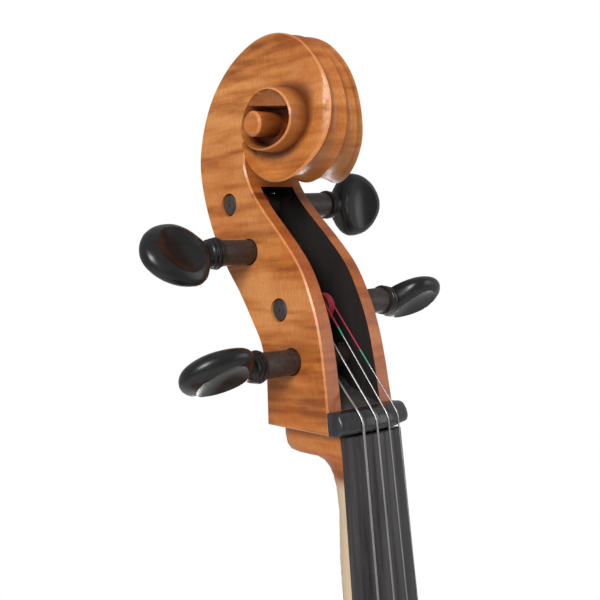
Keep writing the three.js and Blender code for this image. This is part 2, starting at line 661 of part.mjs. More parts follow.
for (const name of STRING_NAMES) {
  const place = PEGS[name];
  const turned = new THREE.Group();
  turned.position.set(0, place.y, place.z);
  turned.rotation.z = place.side < 0 ? Math.PI : 0;
  neckFrame.add(turned);
  add(turned, `peg_${name}`, peg(place), PEG_WOOD);
  const shaftRadius = PEG.collarRadius - (45 - place.windingX * place.side) * PEG_TAPER;
  const wound = add(turned, `winding_${name}`, winding(shaftRadius, STRING_DIAMETER[name]), STEEL);
  wound.position.x = place.windingX * place.side;
}

// Strings: from the tuner over the bridge and the nut to the winding on the peg
const toTail = tailFrame.matrix;
const stringRoute = (name, i) => {
  const radius = STRING_DIAMETER[name] / 2;
  const clear = radius + GAP;
  const bridgeX = (i - 1.5) * BRIDGE.spacing;
  const tailX = (i - 1.5) * TUNER.spacing;
  const nutX = crossing(i);
  const inNeck = (x, y, z) => v3(x, y, z).applyMatrix4(neckFrame.matrix);
  const rise = nutRise(nutX) - 0.9 + clear;
  const { y, z, side, windingX } = PEGS[name];
  const shaft = PEG.collarRadius - (45 - windingX * side) * PEG_TAPER;
  const wrap = shaft + GAP + STRING_DIAMETER[name] + clear;
  // the string leaves the front of the winding, on the tangent from the nut's upper edge
  const leave = v2(-rise + 4.4 - radius, NUT.height + 0.4);
  const toPeg = v2(y - leave.x, z - leave.y);
  const tangent = toPeg.angle() + Math.asin(wrap / toPeg.length());
  const run = Math.sqrt(toPeg.lengthSq() - wrap * wrap);
  const touch = v2(leave.x + run * Math.cos(tangent), leave.y + run * Math.sin(tangent));
  const top = bridgeCrest(bridgeX) + 1 - BRIDGE.crest * 0.02 - clear;
  return [
    v3(tailX, -6.2, TAILPIECE.end - 1).applyMatrix4(toTail),
    v3(bridgeX, top + 1.1, BRIDGE.z - 4),
    v3(bridgeX, top, BRIDGE.z - 1.6),
    v3(bridgeX, top, BRIDGE.z + 1.6),
    inNeck(nutX, -rise, 3.4),
    inNeck(nutX, -rise, 5.6),
    inNeck(nutX, -rise + 1.1, 8.8),
    v3(nutX, leave.x, leave.y).applyMatrix4(neckFrame.matrix),
    v3(windingX, touch.x, touch.y).applyMatrix4(neckFrame.matrix),
  ];
};
STRING_NAMES.forEach((name, i) => {
  add(body, `string_${name}`, tube(stringRoute(name, i), STRING_DIAMETER[name] / 2), STEEL);
});

// Tailpiece with a slot and a screw hole for each fine tuner
const tuners = STRING_NAMES.map((name, i) => ({ name, x: (i - 1.5) * TUNER.spacing }));
const tailpiece = () => {
  const section = (half, z) => [
    v3(-half, 7, z),
    v3(-half, 2, z),
    v3(-half * 0.6, -3, z),
    v3(0, -4.6, z),
    v3(half * 0.6, -3, z),
    v3(half, 2, z),
    v3(half, 7, z),
  ];
  const { start, end, lowWidth, highWidth } = TAILPIECE;
  const rings = [section(lowWidth / 2 - 3, start), section(lowWidth / 2, start + 8), section(highWidth / 2, end)];
  const tools = tuners.flatMap(({ x }) => [
    block(x - TUNER.slot / 2, x + TUNER.slot / 2, -20, 20, TUNER.screwZ + 6, end + 5),
    block(x - TUNER.slot / 2, x + TUNER.slot / 2, 1.5, 20, TUNER.screwZ - 7, end + 5),
    new THREE.CylinderGeometry(1.9, 1.9, 30, 10).translate(x, 0, TUNER.screwZ),
  ]);
  return cut(loft(rings), ...tools);
};
add(tailFrame, "tailpiece", tailpiece(), EBONY);

const lever = (x) => {
  const { pivotZ, screwZ } = TUNER;
  const outline = [
    v2(-7.6, pivotZ + 1),
    v2(-7.6, pivotZ + 6),
    v2(-5, pivotZ + 9.6),
    v2(1, pivotZ + 8),
    v2(6.5, pivotZ + 2),
    v2(6.5, screwZ - 5),
    v2(3.8, screwZ - 5),
    v2(3.8, pivotZ - 6),
    v2(0, pivotZ - 2),
    v2(-3, pivotZ),
  ];
  return sidewise(outline, x - TUNER.slot / 2 + 0.5, x + TUNER.slot / 2 - 0.5);
};
const tunerScrew = () => {
  const profile = [
    v2(0, -3.4),
    v2(1.6, -3.4),
    v2(1.6, 8),
    v2(4.6, 8.6),
    v2(4.6, 15),
    v2(3.4, 16),
    v2(0, 16),
  ];
  return new THREE.LatheGeometry(profile, 14).rotateX(Math.PI);
};
for (const { name, x } of tuners) {
  add(tailFrame, `tuner_lever_${name}`, lever(x), STEEL);
  const screw = add(tailFrame, `tuner_screw_${name}`, tunerScrew(), STEEL);
  screw.position.set(x, 0, TUNER.screwZ);
}

// Tail cord: out of the tailpiece's end, over the saddle and round the collar
const tailCord = () => {
  const [radius, loop] = [1.5, ENDPIN.collarRadius + 2.2];
  const upward = (x) => [
    v3(x, SADDLE_TOP - 3.6, 14.2),
    v3(x, SADDLE_TOP - 1.2, 6),
    v3(x, SADDLE_TOP - 0.9, 1.5),
    v3(x, SADDLE_TOP + 0.8, -2),
    v3(x, SADDLE_TOP + 6, -3.6),
  ];
  const round = Array.from({ length: 13 }, (_, i) => {
    const angle = Math.PI + (Math.PI * i) / 12;
    return v3(loop * Math.cos(angle), -loop * Math.sin(angle), -3.6);
  });
  return tube([...upward(-7), ...round, ...upward(7).reverse()], radius);
};
add(body, "tail_cord", tailCord(), CORD);

// Endpin: a collar wedged in the bottom block, a steel rod that slides in it, a rubber tip,
// and a thumb screw that clamps the rod
const endpinCollar = () => {
  const r = ENDPIN.collarRadius;
  const bore = ENDPIN.radius + 0.3;
  const profile = [
    v2(bore, -25),
    v2(r - 2, -25),
    v2(r - 0.5, -23),
    v2(r - 0.5, -11),
    v2(r + 5, -9),
    v2(r + 5, -6),
    v2(r - 0.4, -5.4),
    v2(r - 0.4, 30),
    v2(bore, 30),
    v2(bore, -25),
  ];
  const turned = new THREE.LatheGeometry(profile, 24).rotateX(Math.PI / 2);
  return cut(turned, alongX(rod(2.9, 2.9, 40, 12), 0, 0, -17));
};
const endpinTip = () => {
  const profile = [
    v2(0, -BODY_LIFT),
    v2(7, -BODY_LIFT),
    v2(9, -BODY_LIFT + 1.5),
    v2(9, -BODY_LIFT + 6),
    v2(7, -28),
    v2(ENDPIN.radius + 0.3, -28),
    v2(ENDPIN.radius + 0.3, -38 - GAP),
    v2(0, -38 - GAP),
  ];
  return new THREE.LatheGeometry(profile, 20).rotateX(Math.PI / 2);
};
const thumbScrew = () => {
  const profile = [
    v2(0, ENDPIN.radius + 0.4),
    v2(2.6, ENDPIN.radius + 0.4),
    v2(2.6, 14),
    v2(5, 14.6),
    v2(7, 17),
    v2(7, 23),
    v2(5, 25),
    v2(0, 25),
  ];
  return alongX(new THREE.LatheGeometry(profile, 14));
};
add(body, "endpin_collar", endpinCollar(), EBONY);
const pinShaft = new THREE.CylinderGeometry(ENDPIN.radius, ENDPIN.radius, ENDPIN.length, 20);
add(body, "endpin_rod", alongZ(pinShaft, 0, 0, ENDPIN.length / 2 - 38), STEEL);
add(body, "endpin_tip", endpinTip(), RUBBER);
add(body, "endpin_thumb_screw", thumbScrew(), STEEL).position.z = -17;

export default cello;
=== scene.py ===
"""The looks of a full-size cello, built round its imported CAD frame.

Lengths in this file are millimetres in the frame of the part they belong to, and become metres
when a piece is made. BODY is the sound box, NECK leans back along the fingerboard with its origin
at the nut, and TAIL leans forward along the tailpiece with its origin at the saddle.
"""

import json
import math

import bmesh
import bpy
import numpy as np
from mathutils import Matrix, Vector
from mathutils.geometry import delaunay_2d_cdt

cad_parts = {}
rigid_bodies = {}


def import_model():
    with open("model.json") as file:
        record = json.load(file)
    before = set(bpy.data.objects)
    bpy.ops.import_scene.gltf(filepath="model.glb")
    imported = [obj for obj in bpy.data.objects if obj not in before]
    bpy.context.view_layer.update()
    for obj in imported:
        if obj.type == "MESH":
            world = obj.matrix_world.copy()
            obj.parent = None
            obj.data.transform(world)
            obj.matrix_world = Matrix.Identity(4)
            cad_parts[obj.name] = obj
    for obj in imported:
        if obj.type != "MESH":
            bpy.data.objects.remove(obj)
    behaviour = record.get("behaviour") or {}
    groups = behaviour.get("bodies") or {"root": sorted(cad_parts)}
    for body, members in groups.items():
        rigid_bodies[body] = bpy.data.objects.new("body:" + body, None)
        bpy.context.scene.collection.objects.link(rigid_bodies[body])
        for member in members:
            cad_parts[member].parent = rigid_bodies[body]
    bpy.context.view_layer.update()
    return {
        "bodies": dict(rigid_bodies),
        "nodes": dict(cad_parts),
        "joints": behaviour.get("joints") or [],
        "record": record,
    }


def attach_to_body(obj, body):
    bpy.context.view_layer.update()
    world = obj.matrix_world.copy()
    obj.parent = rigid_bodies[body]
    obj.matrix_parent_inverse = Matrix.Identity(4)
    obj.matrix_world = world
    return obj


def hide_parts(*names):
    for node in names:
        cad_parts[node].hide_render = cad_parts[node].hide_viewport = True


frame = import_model()
bpy.context.scene.view_settings.view_transform = "Standard"

# Driving dimensions, as in the CAD model
BODY_LIFT = 45
BODY_LENGTH = 755
RIB_HEIGHT = 114
EDGE_THICKNESS = 4.5
PLATE_THICKNESS = 4.2
ARCH_HEIGHT = 24
NECK_TILT = math.radians(9)
NECK_LENGTH = 280
OVERSTAND = 21
BRIDGE_Z = 355
BRIDGE_HEIGHT = 90
STRINGS = ["c", "g", "d", "a"]
STRING_DIAMETER = {"c": 1.7, "g": 1.4, "d": 1.1, "a": 0.9}
NUT_SPACING = 8.4
NUT_RISE = 12.6
BOARD_RADIUS = 62
PEG_TAPER = 1 / 50
# where the taper has its full radius, and what the holes are wider all round
PEG_COLLAR = 45
PEG_GAP = 0.55
PEG_COLLAR_RADIUS = 6.7
# each peg's axis, which side its head is on, how far out its middle is, how far the head is
# turned from facing the front, and where the string leaves it
PEGS = {
    "c": dict(y=24, z=36, side=-1, reach=70.5, turn=60, winding=-8.5),
    "g": dict(y=51, z=92, side=-1, reach=67.5, turn=-32, winding=-6.5),
    "d": dict(y=64.5, z=117.5, side=1, reach=78, turn=6, winding=1.5),
    "a": dict(y=31, z=61.5, side=1, reach=81, turn=60, winding=9.5),
}
RIB_FRONT = -RIB_HEIGHT / 2
RIB_BACK = RIB_HEIGHT / 2
GLUE_GAP = 0.3
BELLY_EDGE = RIB_FRONT - EDGE_THICKNESS
SADDLE_TOP = BELLY_EDGE - 6
BRIDGE_TOP = RIB_FRONT - ARCH_HEIGHT - BRIDGE_HEIGHT
ROOT_FRONT = BELLY_EDGE - OVERSTAND

WORLD = Matrix.Identity(4)
BODY = Matrix.Translation((0, 0, BODY_LIFT))
NUT_Y = ROOT_FRONT + NECK_LENGTH * math.sin(NECK_TILT)
NUT_Z = BODY_LENGTH + NECK_LENGTH * math.cos(NECK_TILT)
NECK = BODY @ Matrix.Translation((0, NUT_Y, NUT_Z)) @ Matrix.Rotation(-NECK_TILT, 4, "X")
TAIL_TILT = math.atan2(SADDLE_TOP - BRIDGE_TOP, BRIDGE_Z - 2)
TAIL = BODY @ Matrix.Translation((0, SADDLE_TOP, 2)) @ Matrix.Rotation(TAIL_TILT, 4, "X")


# Small mathematics
def clamp(value, low=0.0, high=1.0):
    return max(low, min(high, value))


def lerp(a, b, share):
    return a + (b - a) * share


def smooth(low, high, value):
    share = clamp((value - low) / (high - low))
    return share * share * (3 - 2 * share)


def table(pairs, at):
    """The value at a place on a smooth curve through (place, value) pairs in rising order."""
    if at <= pairs[0][0]:
        return pairs[0][1]
    for (a, va), (b, vb) in zip(pairs, pairs[1:]):
        if at <= b:
            return lerp(va, vb, smooth(a, b, at))
    return pairs[-1][1]


def spline(points, per_span, closed=False):
    """Points along a Catmull-Rom curve through the given ones."""
    knots = [Vector(p) for p in points]
    count = len(knots)
    out = []
    for i in range(count if closed else count - 1):
        b, c = knots[i], knots[(i + 1) % count]
        a = knots[i - 1] if closed or i else 2 * b - c
        d = knots[(i + 2) % count] if closed or i + 2 < count else 2 * c - b
        for k in range(per_span):
            t = k / per_span
            cubic = (3 * b - a - 3 * c + d) * t**3
            out.append((2 * b + (c - a) * t + (2 * a - 5 * b + 4 * c - d) * t * t + cubic) / 2)
    return out if closed else out + [knots[-1].copy()]


def normals(loop):
    """Outward at each point of a closed plane loop that runs anticlockwise, as far as it takes
    to move both of the point's edges out by one."""
    out = []
    for before, point, after in zip(loop[-1:] + loop[:-1], loop, loop[1:] + loop[:1]):
        one = (Vector(point[:2]) - Vector(before[:2])).normalized()
        two = (Vector(after[:2]) - Vector(point[:2])).normalized()
        middle = Vector((one.y + two.y, -one.x - two.x)).normalized()
        out.append(middle / max(0.6, middle.dot(Vector((two.y, -two.x)))))
    return out


def outward_normals(loop, place):
    """Outward normals of a loop that runs either way; at the place, outward is towards +x."""
    out = normals(loop)
    return out if out[place].x > 0 else [-n for n in out]


def offset(loop, distance):
    """An anticlockwise plane loop moved in by a distance."""
    return [Vector(p[:2]) - n * distance for p, n in zip(loop, normals(loop))]


def bezier(points, steps):
    """Points along a chain of cubic curves: a start, then three points for each curve."""
    knots = [Vector(p) for p in points]
    out = [knots[0]]
    for i in range(0, len(knots) - 1, 3):
        a, b, c, d = knots[i : i + 4]
        for k in range(1, steps + 1):
            t = k / steps
            u = 1 - t
            out.append(a * u**3 + b * 3 * t * u * u + c * 3 * t * t * u + d * t**3)
    return out


# Mesh making
def make(name, verts, faces, frame=WORLD):
    """A mesh object from points in millimetres of a frame."""
    mesh = bpy.data.meshes.new(name)
    mesh.from_pydata([frame @ Vector(v) * 0.001 for v in verts], [], faces)
    mesh.validate()
    obj = bpy.data.objects.new(name, mesh)
    bpy.context.scene.collection.objects.link(obj)
    return obj


def paint(obj, *materials, kinds=None):
    """Gives obj its materials; kinds holds the number of each face's material."""
    obj.data.materials.clear()
    for material in materials:
        obj.data.materials.append(material)
    if kinds:
        obj.data.polygons.foreach_set("material_index", kinds)
    return obj


def outward_facing(obj):
    """Turns every face outwards."""
    mesh = bmesh.new()
    mesh.from_mesh(obj.data)
    bmesh.ops.recalc_face_normals(mesh, faces=mesh.faces)
    mesh.to_mesh(obj.data)
    mesh.free()
    return obj


def baked(obj, kind, **settings):
    """obj with one modifier worked into its mesh."""
    modifier = obj.modifiers.new(kind, kind)
    for key, value in settings.items():
        setattr(modifier, key, value)
    graph = bpy.context.evaluated_depsgraph_get()
    result = bpy.data.meshes.new_from_object(obj.evaluated_get(graph))
    obj.modifiers.clear()
    obj.data = result
    return obj


def combine(obj, operation, *tools):
    """Cuts the tools out of obj, or joins them to it."""
    for tool in tools:
        settings = dict(operation=operation, object=tool, solver="MANIFOLD")
        baked(obj, "BOOLEAN", material_mode="TRANSFER", **settings)
        bpy.data.objects.remove(tool)
    return obj


def rounded(obj, width, angle):
    """obj with a bevel of a width in millimetres where its faces meet at more than the angle."""
    limit = dict(limit_method="ANGLE", angle_limit=math.radians(angle))
    return baked(obj, "BEVEL", width=width / 1000, segments=2, **limit)


def shade(obj, angle):
    """Smooth shading with sharp edges where faces meet at more than the angle."""
    obj.data.shade_smooth()
    obj.data.set_sharp_from_angle(angle=math.radians(angle))
    return obj


def attach(obj, slot, *stands_for, body="cello_body"):
    """Puts obj on its body and in the place of the CAD nodes it stands for; the slot is not used.
    """
    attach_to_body(obj, body)
    if stands_for:
        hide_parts(*stands_for)
    return obj


def piece(name, shape, frame, material, angle, slot, node, body="cello_body"):
    """A closed piece of one material, from its vertices and faces."""
    obj = paint(outward_facing(make(name, *shape, frame)), material)
    return attach(shade(obj, angle), slot, node, body=body)


def spoke(angle):
    """A plane direction at an angle."""
    return Vector((math.cos(angle), math.sin(angle)))


def circle(count):
    """Angles evenly spread round a circle."""
    return [2 * math.pi * i / count for i in range(count)]


def strip(a, b, size):
    """Faces between two closed rows of vertices, whose first ones are a and b."""
    return [(a + i, a + (i + 1) % size, b + (i + 1) % size, b + i) for i in range(size)]


def skin(rings, caps=True):
    """Vertices and faces of a surface through closed rings with the same number of points."""
    size = len(rings[0])
    verts = [p for ring in rings for p in ring]
    faces = []
    for first in range(0, len(verts) - size, size):
        faces += strip(first, first + size, size)
    if caps:
        faces.append(tuple(reversed(range(size))))
        faces.append(tuple(range(len(verts) - size, len(verts))))
    return verts, faces


def turn_rings(profile, sides, knurl=0.0, above=0.0):
    """Rings of (along, cosine, sine) places of a turned shape from its (along, radius) profile.

    Every other line is sunk by the knurl where the radius is above a limit.
    """
    rings = []
    for along, radius in profile:
        ring = []
        for i, a in enumerate(circle(sides)):
            r = radius - knurl if radius > above and i % 2 else radius
            ring.append((along, r * math.cos(a), r * math.sin(a)))
        rings.append(ring)
    return rings


def lathe(profile, sides=40, axis="X"):
    """A closed solid turned about an axis from (place along the axis, radius) points."""
    rings = turn_rings(profile, sides)
    if axis == "Y":
        rings = [[(s, along, c) for along, c, s in ring] for ring in rings]
    if axis == "Z":
        rings = [[(c, s, along) for along, c, s in ring] for ring in rings]
    return skin(rings)


def tube(path, radius, sides=12):
    """A closed tube along a path."""
    points = [Vector(p) for p in path]
    up = Vector((1, 0, 0))
    rings = []
    for i, point in enumerate(points):
        along = (points[min(i + 1, len(points) - 1)] - points[max(i - 1, 0)]).normalized()
        up = (up - along * up.dot(along)).normalized()
        across = along.cross(up)
        arms = [math.cos(a) * up + math.sin(a) * across for a in circle(sides)]
        rings.append([point + radius * arm for arm in arms])
    return skin(rings)


def within(points, loop):
    """Which of the plane points lie inside a closed loop."""
    x, y = points[:, 0], points[:, 1]
    result = np.zeros(len(points), bool)
    ends = np.array([tuple(p)[:2] for p in loop])
    for (x0, y0), (x1, y1) in zip(ends, np.roll(ends, -1, axis=0)):
        if y0 == y1:
            continue
        crosses = (y0 > y) != (y1 > y)
        result ^= crosses & (x < (x1 - x0) * (y - y0) / (y1 - y0) + x0)
    return result


def triangulated(loops, creases=(), spacing=None, clear=0.5):
    """Plane triangles inside the first loop and outside the others.

    Creases are open lines of points whose edges are kept. spacing(x, y) gives how far apart the
    points between the lines are. The loops' own points come first in the result, in order.
    """
    points, edges = [], []
    for line, closed in [(loop, True) for loop in loops] + [(c, False) for c in creases]:
        first = len(points)
        points += [Vector(tuple(p)[:2]) for p in line]
        edges += [(first + i, first + i + 1) for i in range(len(line) - 1)]
        if closed:
            edges.append((len(points) - 1, first))
    fixed = np.array([tuple(p) for p in points])
    low, high = fixed.min(0), fixed.max(0)
    if spacing:
        finest = spacing(None, None)
        rows = np.arange(low[1], high[1], finest * 0.866)
        grid = []
        for r, y in enumerate(rows):
            for c, x in enumerate(np.arange(low[0] + (r % 2) * finest / 2, high[0], finest)):
                step = max(1, round(spacing(x, y) / finest))
                if r % step == 0 and c % step == 0:
                    grid.append((x, y))
        grid = np.array(grid)
        keep = within(grid, loops[0])
        for hole in loops[1:]:
            keep &= ~within(grid, hole)
        grid = grid[keep]
        gap = np.array([np.min(np.hypot(*(fixed - g).T)) for g in grid])
        points += [Vector(g) for g in grid[gap > clear * finest]]
    made = delaunay_2d_cdt(points, edges, [], 0, 1e-5, True)
    verts, faces, origin = made[0], made[2], made[3]
    place = {}
    for new, old in enumerate(origin):
        for o in old:
            place[o] = new
    centres = np.array([tuple(sum((verts[i] for i in f), Vector((0, 0))) / 3) for f in faces])
    keep = within(centres, loops[0])
    for hole in loops[1:]:
        keep &= ~within(centres, hole)
    # renumber so that the loops' points come first
    count = sum(len(loop) for loop in loops)
    order = [place[i] for i in range(count)]
    order += [i for i in range(len(verts)) if i not in set(order)]
    number = {old: new for new, old in enumerate(order)}
    triangles = [tuple(number[i] for i in f) for f, k in zip(faces, keep) if k]
    used = [tuple(verts[i]) for i in order]
    return used, triangles


# Materials
class Shader:
    """A material's node tree, with a short call for each node it uses."""

    def __init__(self, name):
        self.material = bpy.data.materials.new(name)
        self.material.use_nodes = True
        self.tree = self.material.node_tree
        self.surface = self.tree.nodes["Principled BSDF"]
        self.coordinates = self.tree.nodes.new("ShaderNodeTexCoord").outputs["Object"]

    def node(self, kind, inputs=None, **settings):
        node = self.tree.nodes.new("ShaderNode" + kind)
        for key, value in settings.items():
            setattr(node, key, value)
        for key, value in (inputs or {}).items():
            self.plug(value, node.inputs[key])
        return node

    def plug(self, value, socket):
        if isinstance(value, bpy.types.NodeSocket):
            self.tree.links.new(value, socket)
        else:
            socket.default_value = value

    def mapped(self, vector=None, scale=(1, 1, 1), rotation=(0, 0, 0)):
        inputs = {"Vector": vector or self.coordinates, "Scale": scale, "Rotation": rotation}
        return self.node("Mapping", inputs).outputs[0]

    def noise(self, vector, scale, detail=3.0, roughness=0.5, distortion=0.0):
        inputs = {"Vector": vector, "Scale": scale, "Detail": detail}
        inputs.update({"Roughness": roughness, "Distortion": distortion})
        return self.node("TexNoise", inputs).outputs[0]

    def wave(self, vector, scale, distortion, detail=2.0, detail_scale=1.0, direction="Z"):
        inputs = {"Vector": vector, "Scale": scale, "Distortion": distortion}
        inputs.update({"Detail": detail, "Detail Scale": detail_scale})
        return self.node("TexWave", inputs, bands_direction=direction).outputs["Fac"]

    def maths(self, operation, *values):
        node = self.node("Math", operation=operation)
        for socket, value in zip(node.inputs, values):
            self.plug(value, socket)
        return node.outputs[0]

    def blend(self, a, b, share):
        """Two values added up, the second with its share."""
        first = self.maths("MULTIPLY", a, 1 - share)
        return self.maths("ADD", first, self.maths("MULTIPLY", b, share))

    def ramp(self, factor, *stops):
        """Maps a factor to colours or to greys given as plain numbers."""
        node = self.node("ValToRGB", {"Fac": factor})
        ramp = node.color_ramp
        while len(ramp.elements) < len(stops):
            ramp.elements.new(1)
        for element, (place, value) in zip(ramp.elements, stops):
            element.position = place
            grey = isinstance(value, (int, float))
            element.color = (value, value, value, 1) if grey else (*value, 1)
        return node.outputs[0]

    def mix(self, factor, a, b, blend="MIX"):
        node = self.node("Mix", data_type="RGBA", blend_type=blend)
        self.plug(factor, node.inputs[0])
        for value, socket in ((a, node.inputs[6]), (b, node.inputs[7])):
            self.plug((*value, 1) if isinstance(value, tuple) else value, socket)
        return node.outputs[2]

    def attribute(self, name):
        return self.node("Attribute", attribute_name=name).outputs["Fac"]

    def finish(self, color, roughness, bump=None, strength=0.3, distance=0.0002, **constants):
        if isinstance(color, tuple):
            color = (*color, 1)
        self.plug(color, self.surface.inputs["Base Color"])
        self.plug(roughness, self.surface.inputs["Roughness"])
        for key, value in constants.items():
            self.surface.inputs[key.replace("_", " ")].default_value = value
        if bump is not None:
            inputs = {"Height": bump, "Strength": strength, "Distance": distance}
            normal = self.node("Bump", inputs).outputs[0]
            self.tree.links.new(normal, self.surface.inputs["Normal"])
        return self.material


BARE_COLOR = (0.62, 0.46, 0.30)
VARNISH = dict(Coat_Weight=0.16, Coat_Roughness=0.2, Specular_IOR_Level=0.3)


def tinted(color, *shares):
    """A colour with each channel multiplied, by one number or by three."""
    return tuple(c * k for c, k in zip(color, shares if len(shares) > 1 else shares * 3))


def flamed_maple(name, light, middle, deep, stripe=1.0, tilt=NECK_TILT, gloss=0.34):
    """Varnished maple: broad flame stripes across the grain, fine pores along it."""
    s = Shader(name)
    lean = s.mapped(rotation=(tilt, 0, 0))
    sloped = s.mapped(lean, rotation=(-0.03, 0, 0))
    spread = s.mapped(sloped, (0.16, 0.10, 1.0))
    flame = s.noise(spread, 105, 2.0, 0.5, 0.35)
    ripple = s.noise(s.mapped(sloped, (0.2, 0.14, 1)), 300, 2)
    along = s.mapped(lean, (1, 1, 0.1))
    grain = s.noise(along, 1500, 3, 0.6)
    flecks = s.noise(s.mapped(lean, (1, 1, 0.3)), 2600, 2)
    patches = s.noise(lean, 22, 3, 0.6, 0.4)
    band = s.blend(flame, ripple, 0.34)
    band = s.ramp(band, (0.38, 0.0), (0.5, 0.5), (0.6, 1.0))
    band = s.maths("MULTIPLY_ADD", s.maths("SUBTRACT", band, 0.5), stripe, 0.5)
    base = s.ramp(band, (0.0, deep), (0.45, middle), (1.0, light))
    glow = s.ramp(patches, (0.38, 0.0), (0.66, 1.0))
    base = s.mix(s.maths("MULTIPLY", glow, 0.55), base, tinted(middle, 0.95, 0.64, 0.32))
    pores = s.ramp(flecks, (0.3, 1.0), (0.42, 0.0))
    base = s.mix(s.maths("MULTIPLY", pores, 0.35), base, tinted(deep, 0.45))
    base = s.mix(s.attribute("bare"), base, BARE_COLOR)
    streaks = s.ramp(grain, (0.35, 0.84), (0.6, 1.0))
    base = s.mix(1.0, base, streaks, "MULTIPLY")
    # darker towards the head's hollows, flutes and shelf: deeper varnish and painted shade
    base = s.mix(s.attribute("recess"), base, tinted(deep, 0.5, 0.3, 0.2))
    rough = s.ramp(s.noise(lean, 60, 4), (0.3, gloss - 0.05), (0.7, gloss + 0.1))
    relief = s.maths("ADD", grain, s.maths("MULTIPLY", pores, -0.6))
    return s.finish(base, rough, relief, 0.12, **VARNISH)


def varnished_spruce(name, light, deep):
    """Straight-grained spruce under the same varnish: a thin dark line for each winter."""
    s = Shader(name)
    warp = s.mapped(scale=(1, 1, 0.05))
    wander = s.noise(warp, 9, 2)
    lines = s.wave(s.mapped(scale=(1, 0.2, 0.02)), 175, 2.2, 2.0, 1.6, "X")
    fine = s.noise(s.mapped(scale=(1, 1, 0.03)), 1500, 3)
    patches = s.noise(s.coordinates, 7, 4, 0.6)
    line = s.ramp(lines, (0.55, 0.0), (0.95, 1.0))
    tone = s.blend(patches, wander, 0.3)
    base = s.ramp(tone, (0.36, tinted(light, 0.8, 0.7, 0.6)), (0.62, light))
    base = s.mix(s.maths("MULTIPLY", line, 0.62), base, deep)
    base = s.mix(1.0, base, s.ramp(fine, (0.3, 0.86), (0.6, 1.0)), "MULTIPLY")
    rough = s.ramp(s.noise(s.coordinates, 50, 4), (0.3, 0.28), (0.7, 0.42))
    return s.finish(base, rough, s.maths("ADD", fine, line), 0.1, **VARNISH)


def bare_wood(name, light, deep, tilt=NECK_TILT, roughness=0.5):
    """Unvarnished wood: fibres along it and a faint flame across."""
    s = Shader(name)
    lean = s.mapped(rotation=(tilt, 0, 0))
    grain = s.noise(s.mapped(lean, (1, 1, 0.05)), 520, 5, 0.6)
    flame = s.noise(s.mapped(lean, (0.3, 0.4, 1)), 110, 3)
    color = s.ramp(s.blend(grain, flame, 0.3), (0.34, deep), (0.62, light))
    return s.finish(color, roughness, grain, 0.12)


def dark_wood(name, light, deep, roughness, streak=0.05, tilt=NECK_TILT):
    """Ebony and stained wood: near black with faint streaks along the grain."""
    s = Shader(name)
    lean = s.mapped(rotation=(tilt, 0, 0))
    grain = s.noise(s.mapped(lean, (1, 1, streak)), 420, 5, 0.62)
    smudge = s.noise(lean, 45, 4)
    color = s.ramp(grain, (0.35, deep), (0.68, light))
    rough = s.ramp(smudge, (0.3, roughness - 0.05), (0.7, roughness + 0.1))
    return s.finish(color, rough, grain, 0.1)


def peg_wood():
    """Polished dark wood with its grain along the peg."""
    s = Shader("peg_polish")
    smudge = s.noise(s.mapped(), 70, 4)
    grain = s.noise(s.mapped(scale=(0.06, 1, 1)), 500, 4)
    color = s.ramp(grain, (0.35, (0.005, 0.005, 0.0055)), (0.7, (0.011, 0.0095, 0.0095)))
    rough = s.ramp(smudge, (0.3, 0.26), (0.7, 0.38))
    coat = dict(Coat_Weight=0.12, Coat_Roughness=0.2, Specular_IOR_Level=0.34)
    return s.finish(color, rough, grain, 0.03, **coat)


def metal(name, tint, roughness, brushed=0.0, grain=(1, 1, 0.05)):
    """Metal with faint stains and, if brushed, fine lines."""
    s = Shader(name)
    fine = s.noise(s.mapped(scale=grain), 900, 3)
    stain = s.noise(s.mapped(), 35, 4)
    color = s.ramp(stain, (0.3, tinted(tint, 0.85)), (0.6, tint))
    rough = s.ramp(fine, (0.3, roughness), (0.7, roughness + 0.12))
    return s.finish(color, rough, fine, brushed, 0.0001, Metallic=1.0)


def silk(name, tint):
    """Thread wound close, with painted shade in the grooves between its turns."""
    s = Shader(name)
    thread = s.wave(s.mapped(rotation=(0.6, 0.4, 0)), 1400, 1.2)
    # the wave's low parts are painted shade between the turns
    color = s.ramp(thread, (0.2, tinted(tint, 0.55)), (0.8, tint))
    return s.finish(color, 0.62, thread, 0.35, Sheen_Weight=0.3)


# each maple with its light, middle and deep colour
amber = ((0.55, 0.225, 0.063), (0.42, 0.143, 0.030), (0.18, 0.048, 0.009))
MAPLE = flamed_maple("maple_varnish", *amber)
# paler edge maple for the chamfers and the peg holes: worn edges and a painted highlight
edge_wear_and_highlight = ((0.66, 0.30, 0.115), (0.56, 0.22, 0.07), (0.38, 0.12, 0.033))
MAPLE_EDGE = flamed_maple("maple_varnish_edge_wear_and_highlight", *edge_wear_and_highlight, 0.6, gloss=0.26)
# the pegbox's front faces: redder and darker, for thicker varnish and painted shade
red = ((0.50, 0.17, 0.042), (0.38, 0.105, 0.023), (0.22, 0.05, 0.01))
FRONT_VARNISH_AND_SHADE = flamed_maple("maple_varnish_front_and_shade", *red, 0.7)
golden = ((0.57, 0.225, 0.062), (0.45, 0.145, 0.03), (0.25, 0.062, 0.012))
BACK_MAPLE = flamed_maple("maple_varnish_body", *golden, tilt=0.0)
SPRUCE = varnished_spruce("spruce_varnish", (0.60, 0.25, 0.07), (0.40, 0.135, 0.03))
INNER_SPRUCE = bare_wood("spruce_bare", (0.74, 0.60, 0.40), (0.58, 0.43, 0.25), 0.0, 0.7)
BRIDGE_WOOD = bare_wood("maple_bridge", (0.66, 0.46, 0.26), (0.46, 0.28, 0.13), 0.0, 0.45)
brown = ((0.03, 0.02, 0.016), (0.012, 0.008, 0.006))
PURFLING_DARK = dark_wood("purfling_dark", *brown, 0.4, tilt=0.0)
